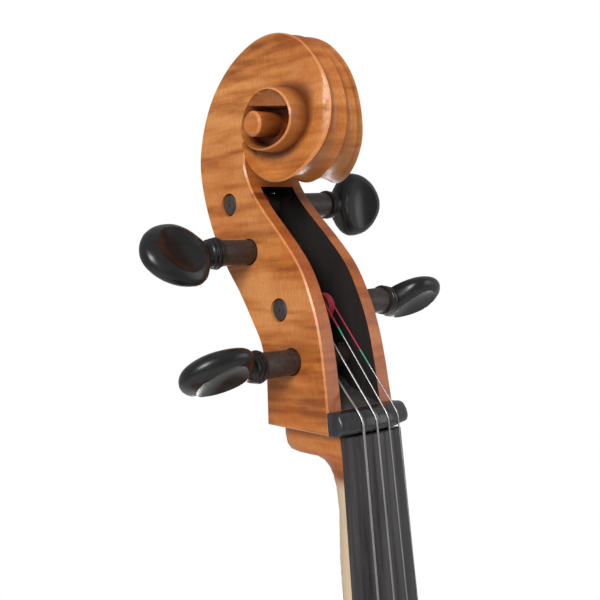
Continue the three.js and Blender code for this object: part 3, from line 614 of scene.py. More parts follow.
PURFLING_PALE = bare_wood("purfling_pale", (0.52, 0.30, 0.12), (0.38, 0.19, 0.06), 0.0, 0.35)
RAMP = dark_wood("cavity_ramp", (0.075, 0.068, 0.066), (0.03, 0.027, 0.027), 0.7)
STAIN = dark_wood("cavity_stain", (0.010, 0.006, 0.005), (0.004, 0.003, 0.002), 0.7)
EBONY = dark_wood("ebony_oiled", (0.042, 0.037, 0.040), (0.012, 0.010, 0.012), 0.38)
EBONY_NUT = dark_wood("ebony_nut", (0.03, 0.03, 0.034), (0.012, 0.012, 0.014), 0.28)
PEG_SHAFT = dark_wood("peg_shaft", (0.05, 0.034, 0.028), (0.018, 0.012, 0.010), 0.5, streak=1.0)
PEG = peg_wood()
BARE_MAPLE = bare_wood("maple_bare", (0.58, 0.42, 0.26), (0.46, 0.30, 0.16))
STEEL = metal("steel_wound", (0.34, 0.335, 0.33), 0.34, 0.5, (1, 1, 1))
NICKEL = metal("nickel_plate", (0.66, 0.64, 0.60), 0.2)
RUBBER = dark_wood("rubber_black", (0.03, 0.03, 0.03), (0.014, 0.014, 0.014), 0.8, streak=1.0)
BRAID = silk("cord_braid", (0.05, 0.05, 0.055))
RED_SILK = silk("silk_red", (0.62, 0.015, 0.05))
GREEN_SILK = silk("silk_green", (0.05, 0.42, 0.27))


# The head, in the neck frame
HEAD_TAPER = 128


def cheek_half(z):
    """Half width of the pegbox, which narrows towards the scroll."""
    return 23.9 - 5.4 * clamp(z / HEAD_TAPER)


def cavity_half(z):
    """Half width of the pegbox's cavity."""
    return 14.2 - 3 * clamp(z / HEAD_TAPER)


SCROLL = Vector((23.5, 153.5))
THROAT = (44, 150)
# y, z and half width of the edge: up the back, round the first turn to the throat, and down
# the front to the nut
BACK_EDGE = [
    (44.1, 5.0, 23.7), (43.6, 17.5, 23.2), (43.5, 30, 22.6), (46.0, 45, 22.0),
    (52.2, 57.5, 21.5), (60.4, 72, 20.9), (69.8, 86, 20.3), (78.6, 103.5, 19.5),
    (84.4, 122, 18.8), (86.3, 139, 18.4), (85.1, 152, 17.2), (81.6, 164.3, 15.9),
    (74.6, 176.8, 14.7), (63.8, 188, 13.4), (52.0, 195.3, 12.1), (41.0, 199, 10.9),
    (30.3, 199.4, 10.4),
]
TURN_EDGE = [
    (20.5, 196.8, 10.4), (12.1, 192.2, 10.6), (5.6, 185.9, 10.8), (0.6, 179.2, 11.0),
    (-3.0, 172.2, 11.1), (-5.2, 164.5, 11.3), (-6.0, 157, 11.7), (-5.3, 149, 12.7),
    (-3.3, 142.6, 14.0), (0.2, 136.9, 15.4), (4.8, 132.1, 16.9), (10.9, 127.7, 18.6),
    (17.3, 124.8, 20.2), (23.7, 123.9, 21.6), (29.8, 125.2, 23.0), (35.0, 128.4, 24.0),
    (39.7, 133.3, 24.7), (43.0, 139.6, 25.0), (44.0, 145.5, 25.2),
]
FRONT_EDGE = [
    (49.6, 143.5, 18.3), (50.8, 136, 18.4), (49.0, 128.5, 18.5), (45.4, 121, 18.8),
    (38.6, 111.5, 19.2), (25.1, 95.6, 19.9), (14.6, 81, 20.5), (8.1, 65, 21.2), (4.3, 50, 21.8),
    (2.5, 34, 22.5), (1.6, 18, 23.1), (1.0, 0.4, 23.9),
]
# the second turn's edge stands proud as a ring round the eye
RING_EDGE = [
    (43.2, 154.9, 25.3), (38.8, 162.8, 25.2), (31.4, 168.5, 25.2), (21.7, 169.5, 25.2),
    (13.0, 165.5, 25.2), (7.9, 158.4, 25.3), (7.4, 151.2, 25.4), (11.1, 144.8, 25.7),
    (17.9, 140.9, 26.2), (27.3, 139.7, 26.8), (35.7, 142.2, 27.2), (42.3, 148.3, 26.4),
]
EYE = Vector((29.5, 152.9))
EYE_RADIUS = 6.2
EYE_TIP = 30.5
# the step between the bowl and the shelf above it climbs towards the back
SHELF = (155.3, 156.6)
SHELF_SLOPE = 0.183
BOWL_DEPTH = 13.6
TURN_START = math.atan2(THROAT[1] - SCROLL.y, THROAT[0] - SCROLL.x)


def round_scroll(y, z):
    """A point's angle round the scroll's middle, from the throat on, and its distance from it."""
    arm = Vector((y, z)) - SCROLL
    angle = math.atan2(arm.y, arm.x)
    return (angle if angle >= TURN_START else angle + 2 * math.pi), arm.length


def polar(points):
    """Sorted (angle, radius, half width) of points round the scroll's middle."""
    return sorted((*round_scroll(*p[:2]), p[2]) for p in points)


def read(entries, angle):
    """Radius and half width at an angle, from a sorted polar list."""
    for a, b in zip(entries, entries[1:]):
        if a[0] <= angle <= b[0]:
            share = (angle - a[0]) / (b[0] - a[0])
            return lerp(a[1], b[1], share), lerp(a[2], b[2], share)
    end = entries[0] if angle < entries[0][0] else entries[-1]
    return end[1], end[2]


# the scroll's turns lie above this place on the head
SCROLL_FOOT = 118
OUTLINE = spline(BACK_EDGE + TURN_EDGE, 6)
FRONT = spline(FRONT_EDGE, 6)
RING = spline(RING_EDGE, 6, closed=True)
turn_polar = polar([p for p in OUTLINE if p.y > SCROLL_FOOT])
ring_polar = polar(RING)
# the floor's half width between the first turn's edge and the ring, by angle in degrees
FLOOR = [
    (-10, 17), (60, 12.4), (95, 10.6), (125, 11), (176, 14.2), (229, 16), (268, 15.6),
    (350, 17.8),
]


def side_half(y, z):
    """Half width of the head's side at a point, without the ring."""
    if z < SCROLL_FOOT or (y > THROAT[0] and z < THROAT[1]):
        return cheek_half(z)
    angle, distance = round_scroll(y, z)
    outer, edge = read(turn_polar, angle)
    inner = read(ring_polar, angle)[0]
    inward = clamp((outer - distance) / max(1.0, outer - inner - 1.0))
    floor = table(FLOOR, math.degrees(angle))
    return lerp(edge, floor, math.sin(clamp(inward / 0.62) * math.pi / 2) ** 0.9)


def degrees_round(y, z):
    """A point's angle round the scroll's middle, from 0 to 360."""
    return math.degrees(math.atan2(z - SCROLL.y, y - SCROLL.x)) % 360


def flute_depth(y, z):
    """Depth of the two flutes along the back and round the volute."""
    angle = degrees_round(y, z)
    if z > SCROLL_FOOT and 60 < angle < 352:
        return lerp(1.7, 2.3, smooth(60, 120, angle)) * (1 - smooth(310, 350, angle))
    return 1.7 * smooth(2, 60, z)


def bevel(y, z):
    """Width of the chamfer on the edge: broad on the front of the first turn, where the paler edge
    maple makes a broad band of wear and painted highlight.
    """
    if z < SCROLL_FOOT or y > THROAT[0] + 2:
        return 0.8
    angle = degrees_round(y, z)
    return 0.7 + 0.7 * smooth(110, 165, angle) * (1 - smooth(215, 270, angle))


# points across the head's edge, over both flutes
COLUMNS = 24


def cheek_spacing(y, z):
    """How far apart the points of the head's sides are: closer on the scroll."""
    return 1.6 if z is None or z > SCROLL_FOOT - 2 else 4.8


def head_blank():
    """Pegbox and first turn as one closed solid, without cavity, holes and ring."""
    edge = [(*p, flute_depth(p.x, p.y)) for p in OUTLINE]
    edge.append((*THROAT, 18.2, 0.0))
    edge += [(*p, 0.0) for p in FRONT]
    outward = outward_normals(edge, 10)
    size = len(edge)
    verts, faces, kinds = [], [], []
    for (y, z, half, depth), n in zip(edge, outward):
        reach = half - bevel(y, z)
        for c in range(COLUMNS + 1):
            x = reach * (2 * c / COLUMNS - 1)
            sink = depth * abs(math.sin(math.pi * x / reach)) if depth else 0.0
            verts.append((x, y - n.x * sink, z - n.y * sink))
    row = COLUMNS + 1
    for i in range(size):
        j = (i + 1) % size
        for c in range(COLUMNS):
            faces.append((i * row + c, i * row + c + 1, j * row + c + 1, j * row + c))
            # the front's faces take the redder, darker maple: thicker varnish and painted shade
            kinds.append(0 if i < len(OUTLINE) else 2)
    inner = [Vector(e[:2]) - n * bevel(*e[:2]) for e, n in zip(edge, outward)]
    flat, triangles = triangulated([inner], spacing=cheek_spacing)
    for way in (-1, 1):
        first = len(verts)
        for k, (y, z) in enumerate(flat):
            half = edge[k][2] if k < size else side_half(y, z)
            verts.append((way * half, y, z))
        for t in triangles:
            faces.append(tuple(first + i for i in (t if way > 0 else reversed(t))))
            kinds.append(0)
        # the chamfer between edge and side is in the paler edge maple: wear and painted highlight
        column = 0 if way < 0 else COLUMNS
        for i in range(size):
            j = (i + 1) % size
            quad = (i * row + column, j * row + column, first + j, first + i)
            faces.append(quad if way < 0 else tuple(reversed(quad)))
            kinds.append(1)
    return paint(make("head", verts, faces, NECK), MAPLE, MAPLE_EDGE, FRONT_VARNISH_AND_SHADE, kinds=kinds)


# the ring's wall from its foot to its rim: how far outside its edge, and the share of the edge's
# half width and the length that add up to the level's own
RING_LEVELS = [(1.2, 0, 8), (1.1, 0, 14.5), (0.5, 0.5, 7.5), (0, 1, -0.8), (-0.8, 1, 0)]


def ring(way):
    """The second turn on one side: wall, rim, shelf, bowl and eye."""
    out = outward_normals(RING, 0)
    size = len(RING)
    verts = []
    for by, share, plus in RING_LEVELS:
        verts += [(way * (share * p.z + plus), *(p.xy + n * by)) for p, n in zip(RING, out)]
    faces = skin([verts[i : i + size] for i in range(0, len(verts), size)], caps=False)[1]
    # the last of the bands is the chamfer, in the paler edge maple: wear and painted highlight
    kinds = [0] * (len(faces) - size) + [1] * size + [0]
    faces.append(tuple(range(size)))
    sides = 36
    eye = [EYE + EYE_RADIUS * spoke(a) for a in circle(sides)]
    rim = [Vector(v[1:]) for v in verts[-size:]]
    crease = []
    for z in SHELF:
        line = [Vector((y, z + SHELF_SLOPE * y)) for y in np.arange(5, 42, 0.9)]
        inside = within(np.array([tuple(p) for p in line]), offset(rim, 0.9))
        apart = [i and (p - EYE).length > EYE_RADIUS + 0.45 for p, i in zip(line, inside)]
        for start in range(len(line) - 1):
            if apart[start] and apart[start + 1]:
                crease.append(line[start : start + 2])
    flat, triangles = triangulated([rim, eye], crease, spacing=lambda x, y: 1.1)
    first = len(verts) - size
    number = []
    for k, (y, z) in enumerate(flat):
        if k < size:
            number.append(first + k)
            continue
        angle, distance = round_scroll(y, z)
        radius, half = read(ring_polar, angle)
        from_eye = (Vector((y, z)) - EYE).length - EYE_RADIUS
        to_rim = max(0.0, radius - distance - 0.8)
        share = clamp(to_rim / max(0.5, min(3.5, (to_rim + from_eye) * 0.6)))
        bowl = lerp(half - 0.2, BOWL_DEPTH, math.sin(share * math.pi / 2))
        shelf = half - 1.0 - 1.2 * clamp(to_rim / 3)
        height = lerp(bowl, shelf, smooth(*SHELF, z - SHELF_SLOPE * y))
        verts.append((way * height, y, z))
        number.append(len(verts) - 1)
    faces += [tuple(number[i] for i in t) for t in triangles]
    kinds += [0] * len(triangles)
    foot = number[size]
    # the eye's chamfer is in the paler edge maple: wear and painted highlight
    for kind, radius, x in ((0, EYE_RADIUS, EYE_TIP - 1.3), (1, EYE_RADIUS - 1.1, EYE_TIP)):
        faces += strip(foot, len(verts), sides)
        kinds += [kind] * sides
        foot = len(verts)
        for a in circle(sides):
            verts.append((way * x, EYE.x + radius * math.cos(a), EYE.y + radius * math.sin(a)))
    faces.append(tuple(range(foot, foot + sides)))
    kinds.append(0)
    obj = make(f"ring_{way}", verts, faces, NECK)
    return outward_facing(paint(obj, MAPLE, MAPLE_EDGE, FRONT_VARNISH_AND_SHADE, kinds=kinds))


def peg_radius(x):
    """Radius of a peg's taper at a distance from the head's middle, towards the peg's head."""
    return PEG_COLLAR_RADIUS - (PEG_COLLAR - x) * PEG_TAPER


# the cavity's floor from the nut up, and its ceiling from the deepest point to the front
TROUGH = [
    (-20, 11.4), (3, 11.6), (20, 19.5), (33, 34), (42, 56), (58, 80), (70, 104), (73, 120),
    (69, 128.5), (58, 128.5), (46, 124.4), (20, 122), (-20, 60),
]


RAMP_TOP = 26


def head():
    """Pegbox and scroll, with its cavity, peg holes and rings."""
    obj = outward_facing(head_blank())
    combine(obj, "UNION", ring(-1), ring(1))
    trough = TROUGH[:2] + [tuple(p) for p in spline(TROUGH[2:8], 5)] + TROUGH[8:]
    sides = [[(way * cavity_half(z), y, z) for y, z in trough] for way in (-1, 1)]
    tools = [paint(outward_facing(make("cavity", *skin(sides), NECK)), STAIN)]
    for place in PEGS.values():
        ends = [(x, peg_radius(x * place["side"]) + PEG_GAP) for x in (-32, 32)]
        spot = NECK @ Matrix.Translation((0, place["y"], place["z"]))
        # the holes' walls are in the paler edge maple: a painted highlight round each peg
        tools.append(paint(outward_facing(make("hole", *lathe(ends), spot)), MAPLE_EDGE))
    combine(obj, "DIFFERENCE", *tools)
    # how dark each point of the head is: deeper varnish and painted shade in the hollows
    mark(obj, "recess", NECK, recess)
    # the ramp behind the nut is grey, lighter than the stained cavity
    obj.data.materials.append(RAMP)
    stain = obj.data.materials.find(STAIN.name)
    inverse = NECK.inverted()
    for face in obj.data.polygons:
        middle = inverse @ (face.center * 1000)
        if face.material_index == stain and middle.z < RAMP_TOP and middle.y < RAMP_TOP + 1:
            face.material_index = len(obj.data.materials) - 1
    attach(shade(obj, 30), "varnished_maple", "pegbox_and_scroll")


def recess(x, y, z):
    """How far a point of the head lies deep in the bowl, beside the ring's foot or down a flute,
    which the maple shows as deeper varnish and painted shade.
    """
    angle, distance = round_scroll(y, z)
    if distance > 75 or z < SCROLL_FOOT or (y > THROAT[0] + 2 and z < THROAT[1]):
        return 0.0
    outer, edge = read(turn_polar, angle)
    inner, crest = read(ring_polar, angle)
    around = math.degrees(angle)
    if distance < inner - 1.4:
        if z - SHELF_SLOPE * y > SHELF[1] - 0.2 and abs(x) > 18:
            return 0.55
        return smooth(1, 8, crest - abs(x))
    if distance < outer - 1.5:
        wide = smooth(100, 140, around) * (1 - smooth(150, 190, around))
        foot = 1 - smooth(1.5, lerp(5, 9, wide), distance - inner)
        return 0.85 * foot * (1 - smooth(17, 22, abs(x)))
    share = abs(x) / edge
    return 0.8 * smooth(70, 130, around) * smooth(0.1, 0.4, share) * (1 - smooth(0.6, 0.95, share))


def mark(obj, name, frame, value_at):
    """A point attribute from each point's place in a frame, in millimetres."""
    inverse = frame.inverted()
    values = [value_at(*(inverse @ (v.co * 1000))) for v in obj.data.vertices]
    obj.data.attributes.new(name, "FLOAT", "POINT").data.foreach_set("value", values)
    return obj


# Pegs: shaft and collar turned, head drawn out into an oval with a dish on each side
PEG_SIDES = 40
# along the head: place, half height, half thickness of the whole form and of the dished part
PEG_HEAD = [
    (0, 5.6, 5.4, 9), (1.4, 8.6, 6.1, 8), (3.4, 12.4, 6.5, 6.6), (6, 15.4, 6.8, 4.9),
    (9, 17.2, 7.0, 3.6), (12, 18, 7.2, 2.8), (16, 18, 7.3, 2.4), (20, 17.4, 7.3, 2.7),
    (24, 16.1, 7.1, 3.7), (28, 13.9, 6.5, 5.2), (31, 11.4, 5.6, 6.6), (33.6, 8.1, 4.4, 8),
    (35.3, 4.6, 2.8, 8), (36, 0.9, 0.8, 8),
]
DISH_CURVE = 4.0
# from the collar's start to the middle of the head, and the collar's profile
HEAD_MIDDLE = 27
COLLAR = [
    (0.2, 6.8), (0.6, 7.8), (1.6, 8.1), (2.3, 7.8), (2.7, 7.0), (3.1, 7.5), (3.9, 7.7),
    (4.6, 7.4), (5.0, 6.7), (5.4, 7.1), (6.2, 7.2), (6.9, 6.9), (7.4, 6.2), (8.3, 5.7),
]


def peg_section(x, height, body, dish):
    """One ring of a peg: an oval, cut off on both faces where the dish is thinner than it."""
    quarter = PEG_SIDES // 4
    # the ridge is where body * sin(a) = dish + DISH_CURVE * cos(a) ** 2
    root = math.sqrt(body * body + 4 * DISH_CURVE * (dish + DISH_CURVE))
    edge = math.asin(min((root - body) / (2 * DISH_CURVE), 0.94))
    steps = [edge * k / (quarter / 2) for k in range(quarter // 2)]
    steps += [lerp(edge, math.pi / 2, k / (quarter / 2)) for k in range(quarter // 2)]
    steps.append(math.pi / 2)
    ring = []
    for i in range(PEG_SIDES):
        turn, k = divmod(i, quarter)
        a = math.pi * turn / 2 + (steps[k] if turn % 2 == 0 else math.pi / 2 - steps[quarter - k])
        limit = dish + DISH_CURVE * math.cos(a) ** 2
        ring.append((x, height * math.cos(a), clamp(body * math.sin(a), -limit, limit)))
    return ring


def peg(name):
    """A peg from its far end to its head, and the string's silk wound round its shaft."""
    place = PEGS[name]
    cheek = cheek_half(place["z"])
    collar = place["reach"] - HEAD_MIDDLE
    end = peg_radius(-cheek)
    shaft = [(-cheek + 0.4, 0.8), (-cheek + 0.4, end - 1.2), (-cheek + 0.8, end - 0.4)]
    shaft += [(x, peg_radius(x)) for x in np.linspace(-cheek + 1.6, collar, 9)]
    profile = shaft + [(collar + along, radius) for along, radius in COLLAR]
    rings = [peg_section(x, r, r, 2 * r) for x, r in profile]
    for u, height, body, dish in spline(PEG_HEAD, 4):
        rings.append(peg_section(collar + 9 + u, height, body, dish))
    verts, faces = skin(rings)
    verts = [(x, -z, y) for x, y, z in verts]
    turn = Matrix.Rotation(math.radians(place["turn"]), 4, "X")
    spot = NECK @ Matrix.Translation((0, place["y"], place["z"]))
    frame_of_peg = spot @ Matrix.Scale(place["side"], 4, (1, 0, 0)) @ turn
    obj = outward_facing(make(f"peg_and_collar_{name}", verts, faces, frame_of_peg))
    on_shaft = PEG_SIDES * (len(shaft) - 1)
    paint(obj, PEG, PEG_SHAFT, kinds=[1] * on_shaft + [0] * (len(faces) - on_shaft))
    attach(shade(obj, 24), "peg_wood", f"peg_{name}", body=f"peg_{name}")
    wire = SHOWN_DIAMETER[name] / 2
    radius = peg_radius(place["winding"] * place["side"]) + wire + 0.05
    turns, steps = 4, 30
    pitch = STRING_DIAMETER[name] * 1.15
    path = []
    for i in range(turns * steps + 1):
        a = 2 * math.pi * i / steps
        along = place["winding"] + pitch * (i / steps - turns / 2)
        path.append((along, place["y"] + radius * math.cos(a), place["z"] + radius * math.sin(a)))
    coil = tube(path, wire, 8)
    winding = (f"winding_{name}", f"peg_{name}")
    piece(f"silk_winding_{name}", coil, NECK, RED_SILK, 60, "red_silk", *winding)


# Nut, fingerboard and neck
def across(i, spacing):
    """The place across the middle of the first to fourth string, or of its tuner."""
    return (i - 1.5) * spacing


def notch(x, spacing, wires, depth):
    """Depth at x of a crosspiece's grooves for the strings; they are as wide as 1.5 wires."""
    deepest = 0.0
    for i, name in enumerate(STRINGS):
        share = abs(x - across(i, spacing)) / (wires[name] * 0.75)
        deepest = max(deepest, depth * math.sqrt(max(0.0, 1 - share * share)))
    return deepest


def nut_rise(x):
    """The nut's height, on the curve of the fingerboard."""
    return NUT_RISE - (BOARD_RADIUS - math.sqrt(BOARD_RADIUS**2 - x * x))


def nut():
    """The nut, with a groove for each string and its corners taken off."""
    half = 23.7
    places = sorted({-half, half, -half + 0.5, half - 0.5, *np.arange(-23, 23.1, 0.5).round(2)})
    rings = []
    for x in places:
        groove = notch(x, NUT_SPACING, STRING_DIAMETER, 0.75)
        trim = 0.5 if abs(x) > half - 0.1 else 0.0
        top = nut_rise(x) - 0.25 - trim - groove
        low, high = 0.3 + trim, 11.5 - trim
        curve = [(-top + 4.6, low), (-top + 1.6, low + 0.9), (-top + 0.1, 3.4), (-top, 5.4)]
        curve += [(-top + 0.7, 8.0), (-top + 2.6, high - 0.8), (-top + 5.0, high)]
        section = [(1.6, low), *spline(curve, 3), (1.6, high)]
        rings.append([(x, y, z) for y, z in section])
    piece("nut_ebony", skin(rings), NECK, EBONY_NUT, 35, "ebony", "nut")


BOARD_LENGTH = 580
BOARD_WIDTHS = (34.7, 63)
BOARD_SIDE = 7.7
# how far below the nut the neck under the fingerboard ends
NECK_END = 284


def fingerboard():
    """The fingerboard: round on top, and hollow underneath beyond the neck."""
    on_neck = [0.3, 0.9, *np.linspace(8, 280, 18), NECK_END]
    free = [288, 293, 300, *np.linspace(315, 572, 16), 578.6, BOARD_LENGTH]
    rings = []
    for below in on_neck + free:
        half = lerp(*BOARD_WIDTHS, below / BOARD_LENGTH) / 2
        trim = 0.5 if below in (0.3, BOARD_LENGTH) else 0.0
        half -= trim
        camber = 0.35 * math.sin(math.pi * below / BOARD_LENGTH)
        top = []
        for x in half * np.cos(np.linspace(0.12, math.pi - 0.12, 25)):
            rise = math.sqrt(BOARD_RADIUS**2 - x * x) - math.sqrt(BOARD_RADIUS**2 - half**2)
            top.append((x, -BOARD_SIDE - rise + camber + trim))
        edge = [(half - 0.05, -BOARD_SIDE + 0.7), (half, -BOARD_SIDE + 1.6)]
        foot = (half - 0.1, -0.4 * (below > NECK_END))
        hollow = 6 * smooth(NECK_END, 300, below)
        under = [(half * k, -hollow * (1 - k * k)) for k in (-0.84, -0.6, -0.3, 0, 0.3, 0.6, 0.84)]
        section = edge[::-1] + top + [(-x, y) for x, y in (*edge, foot)] + under + [foot]
        rings.append([(x, y, -below) for x, y in section])
    piece("fingerboard_ebony", skin(rings), NECK, EBONY, 28, "ebony", "fingerboard")


# the chin behind the nut: distance below the nut, depth, half width and how square it is
CHIN = [
    (0.0, 46.5, 17.8, 0.38), (4, 47.2, 17.7, 0.38), (7, 46.6, 17.5, 0.40),
    (9, 44.5, 17.3, 0.42), (10.2, 40.5, 17.1, 0.46), (10.8, 35, 17.0, 0.5),
    (11.4, 28.5, 17.0, 0.58), (13.2, 23.6, 17.1, 0.7), (16.5, 20.6, 17.2, 0.84),
    (20.5, 19.0, 17.3, 0.95), (27, 18.0, 17.4, 1.06), (38, 17.6, 17.5, 1.12),
]
# the cheeks end lower at the front than at the back
CHEEK_SLOPE = 4.6 / 43.6
# the handle and the root: the same, and how far the section has turned level with the body
HANDLE = [
    (60, 17.8, 18.2, 0), (140, 20.0, 19.3, 0), (205, 22.5, 20.3, 0), (222, 25, 20.5, 0.05),
    (236, 30, 20.7, 0.12), (244, 37, 20.8, 0.2), (250, 47, 20.9, 0.3), (255, 60, 20.9, 0.4),
    (260, 76, 20.9, 0.5), (267, 107, 20.8, 0.7), (273, 134, 20, 0.9), (278, 139, 19, 1),
    (292, 139, 19, 1),
]


def half_turn(corners):
    """Angles evenly spread over half a circle, with both ends."""
    return [math.pi * i / (corners - 1) for i in range(corners)]


def neck():
    """The chin behind the nut, the handle and the root, as sections from the nut down."""
    corners = 33
    rings = []
    for below, depth, half, square in CHIN:
        ring = []
        for a in half_turn(corners):
            share = math.sin(a) ** lerp(0.42, 1.12, smooth(0.4, 1.12, square))
            across = math.copysign(abs(math.cos(a)) ** square, math.cos(a)) * lerp(1, 0.84, share)
            y = 0.3 + (depth - 0.3) * share
            rise = CHEEK_SLOPE * max(0.0, y - 1) * (1 - smooth(0, 9, below))
            ring.append(NECK @ Vector((half * across, y, 0.2 - below + rise)))
        rings.append(ring)
    tilted = Vector((0, math.cos(NECK_TILT), -math.sin(NECK_TILT)))
    for below, depth, half, level in spline(HANDLE, 3):
        front = NECK @ Vector((0, 0.3, -below))
        back = tilted.lerp(Vector((0, 1, 0)), clamp(level)).normalized()
        reach = min(depth, RIB_HEIGHT / 2 - 0.3 - front.y) if level > 0.95 else depth
        taper = lerp(1, 0.72, clamp((reach - 30) / 100))
        square = clamp((reach - 22) / 80)
        ring = []
        for a in half_turn(corners):
            c, s = math.cos(a), math.sin(a)
            power = lerp(1.12, 0.28, square)
            share = s**power if s > 1e-6 else 0.0
            across = math.copysign(abs(c) ** power, c) * lerp(1, taper, share)
            ring.append(front + back * (reach * share) + Vector((half * across, 0, 0)))
        rings.append(ring)
    obj = paint(outward_facing(make("neck_and_chin", *skin(rings))), MAPLE)
    mark(obj, "bare", NECK, unvarnished)
    attach(shade(obj, 40), "bare_maple", "neck")


def unvarnished(x, y, z):
    """How bare the neck's wood is: the varnish ends just below the chin and above the root."""
    return smooth(-24, -26.5, z + 0.5 * math.sin(y * 0.35)) * (1 - smooth(-226, -240, z))


# Strings: steel, with coloured silk where they near the pegs
BRIDGE_SPACING = 15.6
BRIDGE_RADIUS = 60
BRIDGE_THICK = (12, 3)
TUNER_SPACING = 13.5
TAIL_END = 247
SCREW_Z = 210
PIVOT_Z = 236
# how far above the nut the green and the red silk start
SILK = {"c": (44, 44), "g": (58, 58), "d": (38, 45), "a": (22, 30)}
SHOWN_DIAMETER = {"c": 1.35, "g": 1.15, "d": 0.9, "a": 0.75}


def bridge_crest(x):
    """The bridge's top, under the strings."""
    return BRIDGE_TOP + BRIDGE_RADIUS - math.sqrt(BRIDGE_RADIUS**2 - x * x)


def string(index, name):
    """A string from its tuner over the bridge and the nut to the winding on its peg."""
    peg_at = PEGS[name]
    radius = SHOWN_DIAMETER[name] / 2
    bridge_x = across(index, BRIDGE_SPACING)
    nut_x = across(index, NUT_SPACING)
    rise = nut_rise(nut_x) - 0.55
    wrap = peg_radius(peg_at["winding"] * peg_at["side"]) + radius + 0.05
    leave = Vector((-rise + 3.3, 12.0))
    to_peg = Vector((peg_at["y"], peg_at["z"])) - leave
    angle = math.atan2(to_peg.y, to_peg.x) + math.asin(wrap / to_peg.length)
    run = math.sqrt(to_peg.length**2 - wrap**2)
    touch = leave + run * spoke(angle)
    top = bridge_crest(bridge_x) + 1 - radius * 0.6
    over_bridge = [(top + 0.9, -4), (top, -1.4), (top, 1.4)]
    over_nut = [(0, 3.2), (0.05, 5.4), (-0.9, 8.2), (-2.3, 10.4)]
    route = [TAIL @ Vector((across(index, TUNER_SPACING), -6.2, TAIL_END - 1))]
    route += [BODY @ Vector((bridge_x, y, BRIDGE_Z + z)) for y, z in over_bridge]
    route += [NECK @ Vector((nut_x, -rise - y, z)) for y, z in over_nut]
    start = len(route)
    steps = 48
    last = NECK @ Vector((peg_at["winding"], *touch))
    first = NECK @ Vector((nut_x, *leave))
    route += [first.lerp(last, i / steps) for i in range(steps + 1)]
    sides = 10
    verts, faces = tube(route, radius, sides)
    green, red = SILK[name]
    kinds = []
    for f in range(len(faces) - 2):
        up = ((f // sides) - start) / steps * run
        kinds.append(2 if up > red else 1 if up > green else 0)
    obj = make(f"string_wound_{name}", verts, faces)
    paint(obj, STEEL, GREEN_SILK, RED_SILK, kinds=kinds + [0, 2])
    attach(shade(outward_facing(obj), 60), "string_steel", f"string_{name}")


# The body's outline on the treble side, in bouts that end at the corners
LOWER_BOUT = [(0, 0), (118, 0), (217.5, 62), (217.5, 158), (217.5, 205), (190, 238), (180, 270)]
LOWER_BOUT += [(174, 288), (177, 303), (189, 318)]
WAIST = [(183, 327), (165, 318), (115, 352), (115, 425), (115, 478), (132, 510), (155, 519)]
UPPER_BOUT = [(163, 526), (150, 540), (149, 552), (153, 566), (158, 582), (170, 594), (170, 612)]
UPPER_BOUT += [(170, 668), (128, 720), (72, 742), (45, 752), (20, 755), (0, 755)]
ARCH_LINE = [(0, 16), (108, 16), (201, 72), (201, 158), (201, 232), (101, 300), (101, 425)]
ARCH_LINE += [(101, 500), (154, 560), (154, 614), (154, 664), (118, 708), (70, 727)]
ARCH_LINE += [(45, 737), (20, 739), (0, 739)]
BOUTS = {
    "lower": bezier(LOWER_BOUT, 18),
    "waist": bezier(WAIST, 20),
    "upper": bezier(UPPER_BOUT, 14),
}
EDGE = BOUTS["lower"] + BOUTS["waist"] + BOUTS["upper"]
EDGE += [Vector((-p.x, p.y)) for p in reversed(EDGE) if p.x > 0.01]
ARCHED = bezier(ARCH_LINE, 24)
OVERHANG = 3.5
RIB_THICKNESS = 1.8
CHANNEL = 1.0


def inward_share(x, z):
    """How far in a point of a plate lies, from 0 on the arch line to 1 on the spine."""
    centre = Vector((0, clamp(z, 150, 610)))
    point = Vector((abs(x), z)) - centre
    if point.length < 0.5:
        return 1.0
    bearing = math.atan2(point.y, point.x)
    low, high = 0, len(ARCHED) - 1
    while high - low > 1:
        middle = (low + high) // 2
        arm = ARCHED[middle] - centre
        if math.atan2(arm.y, arm.x) >= bearing:
            high = middle
        else:
            low = middle
    a, b = ARCHED[low] - centre, ARCHED[high] - centre
    from_a, from_b = math.atan2(a.y, a.x), math.atan2(b.y, b.x)
    share = clamp((bearing - from_a) / (from_b - from_a)) if from_b != from_a else 0.0
    return 1 - point.length / a.lerp(b, share).length


def arch(inward, z, edge, crown):
    """Height of a plate's arch, from its height at the edge to its crown."""
    share = clamp(inward)
    lengthwise = math.sqrt(max(0.0, math.sin(math.pi * (z + 60) / (BODY_LENGTH + 120))))
    return edge + (crown * lengthwise - edge) * share * share * (3 - 2 * share)


EDGE_POINTS = np.array([tuple(p) for p in EDGE])


def plate_height(x, z):
    """Outer surface above the rib plane, with a shallow channel inside the edge."""
    away = float(np.min(np.hypot(EDGE_POINTS[:, 0] - x, EDGE_POINTS[:, 1] - z)))
    height = arch(inward_share(x, z), z, EDGE_THICKNESS, ARCH_HEIGHT)
    return height - CHANNEL * math.exp(-(((away - 10) / 4.5) ** 2))


STEM = [(43, 433), (74, 447), (58, 275), (92, 291)]
EYES = [(Vector((42, 427)), 6), (Vector((92, 298)), 7.5)]


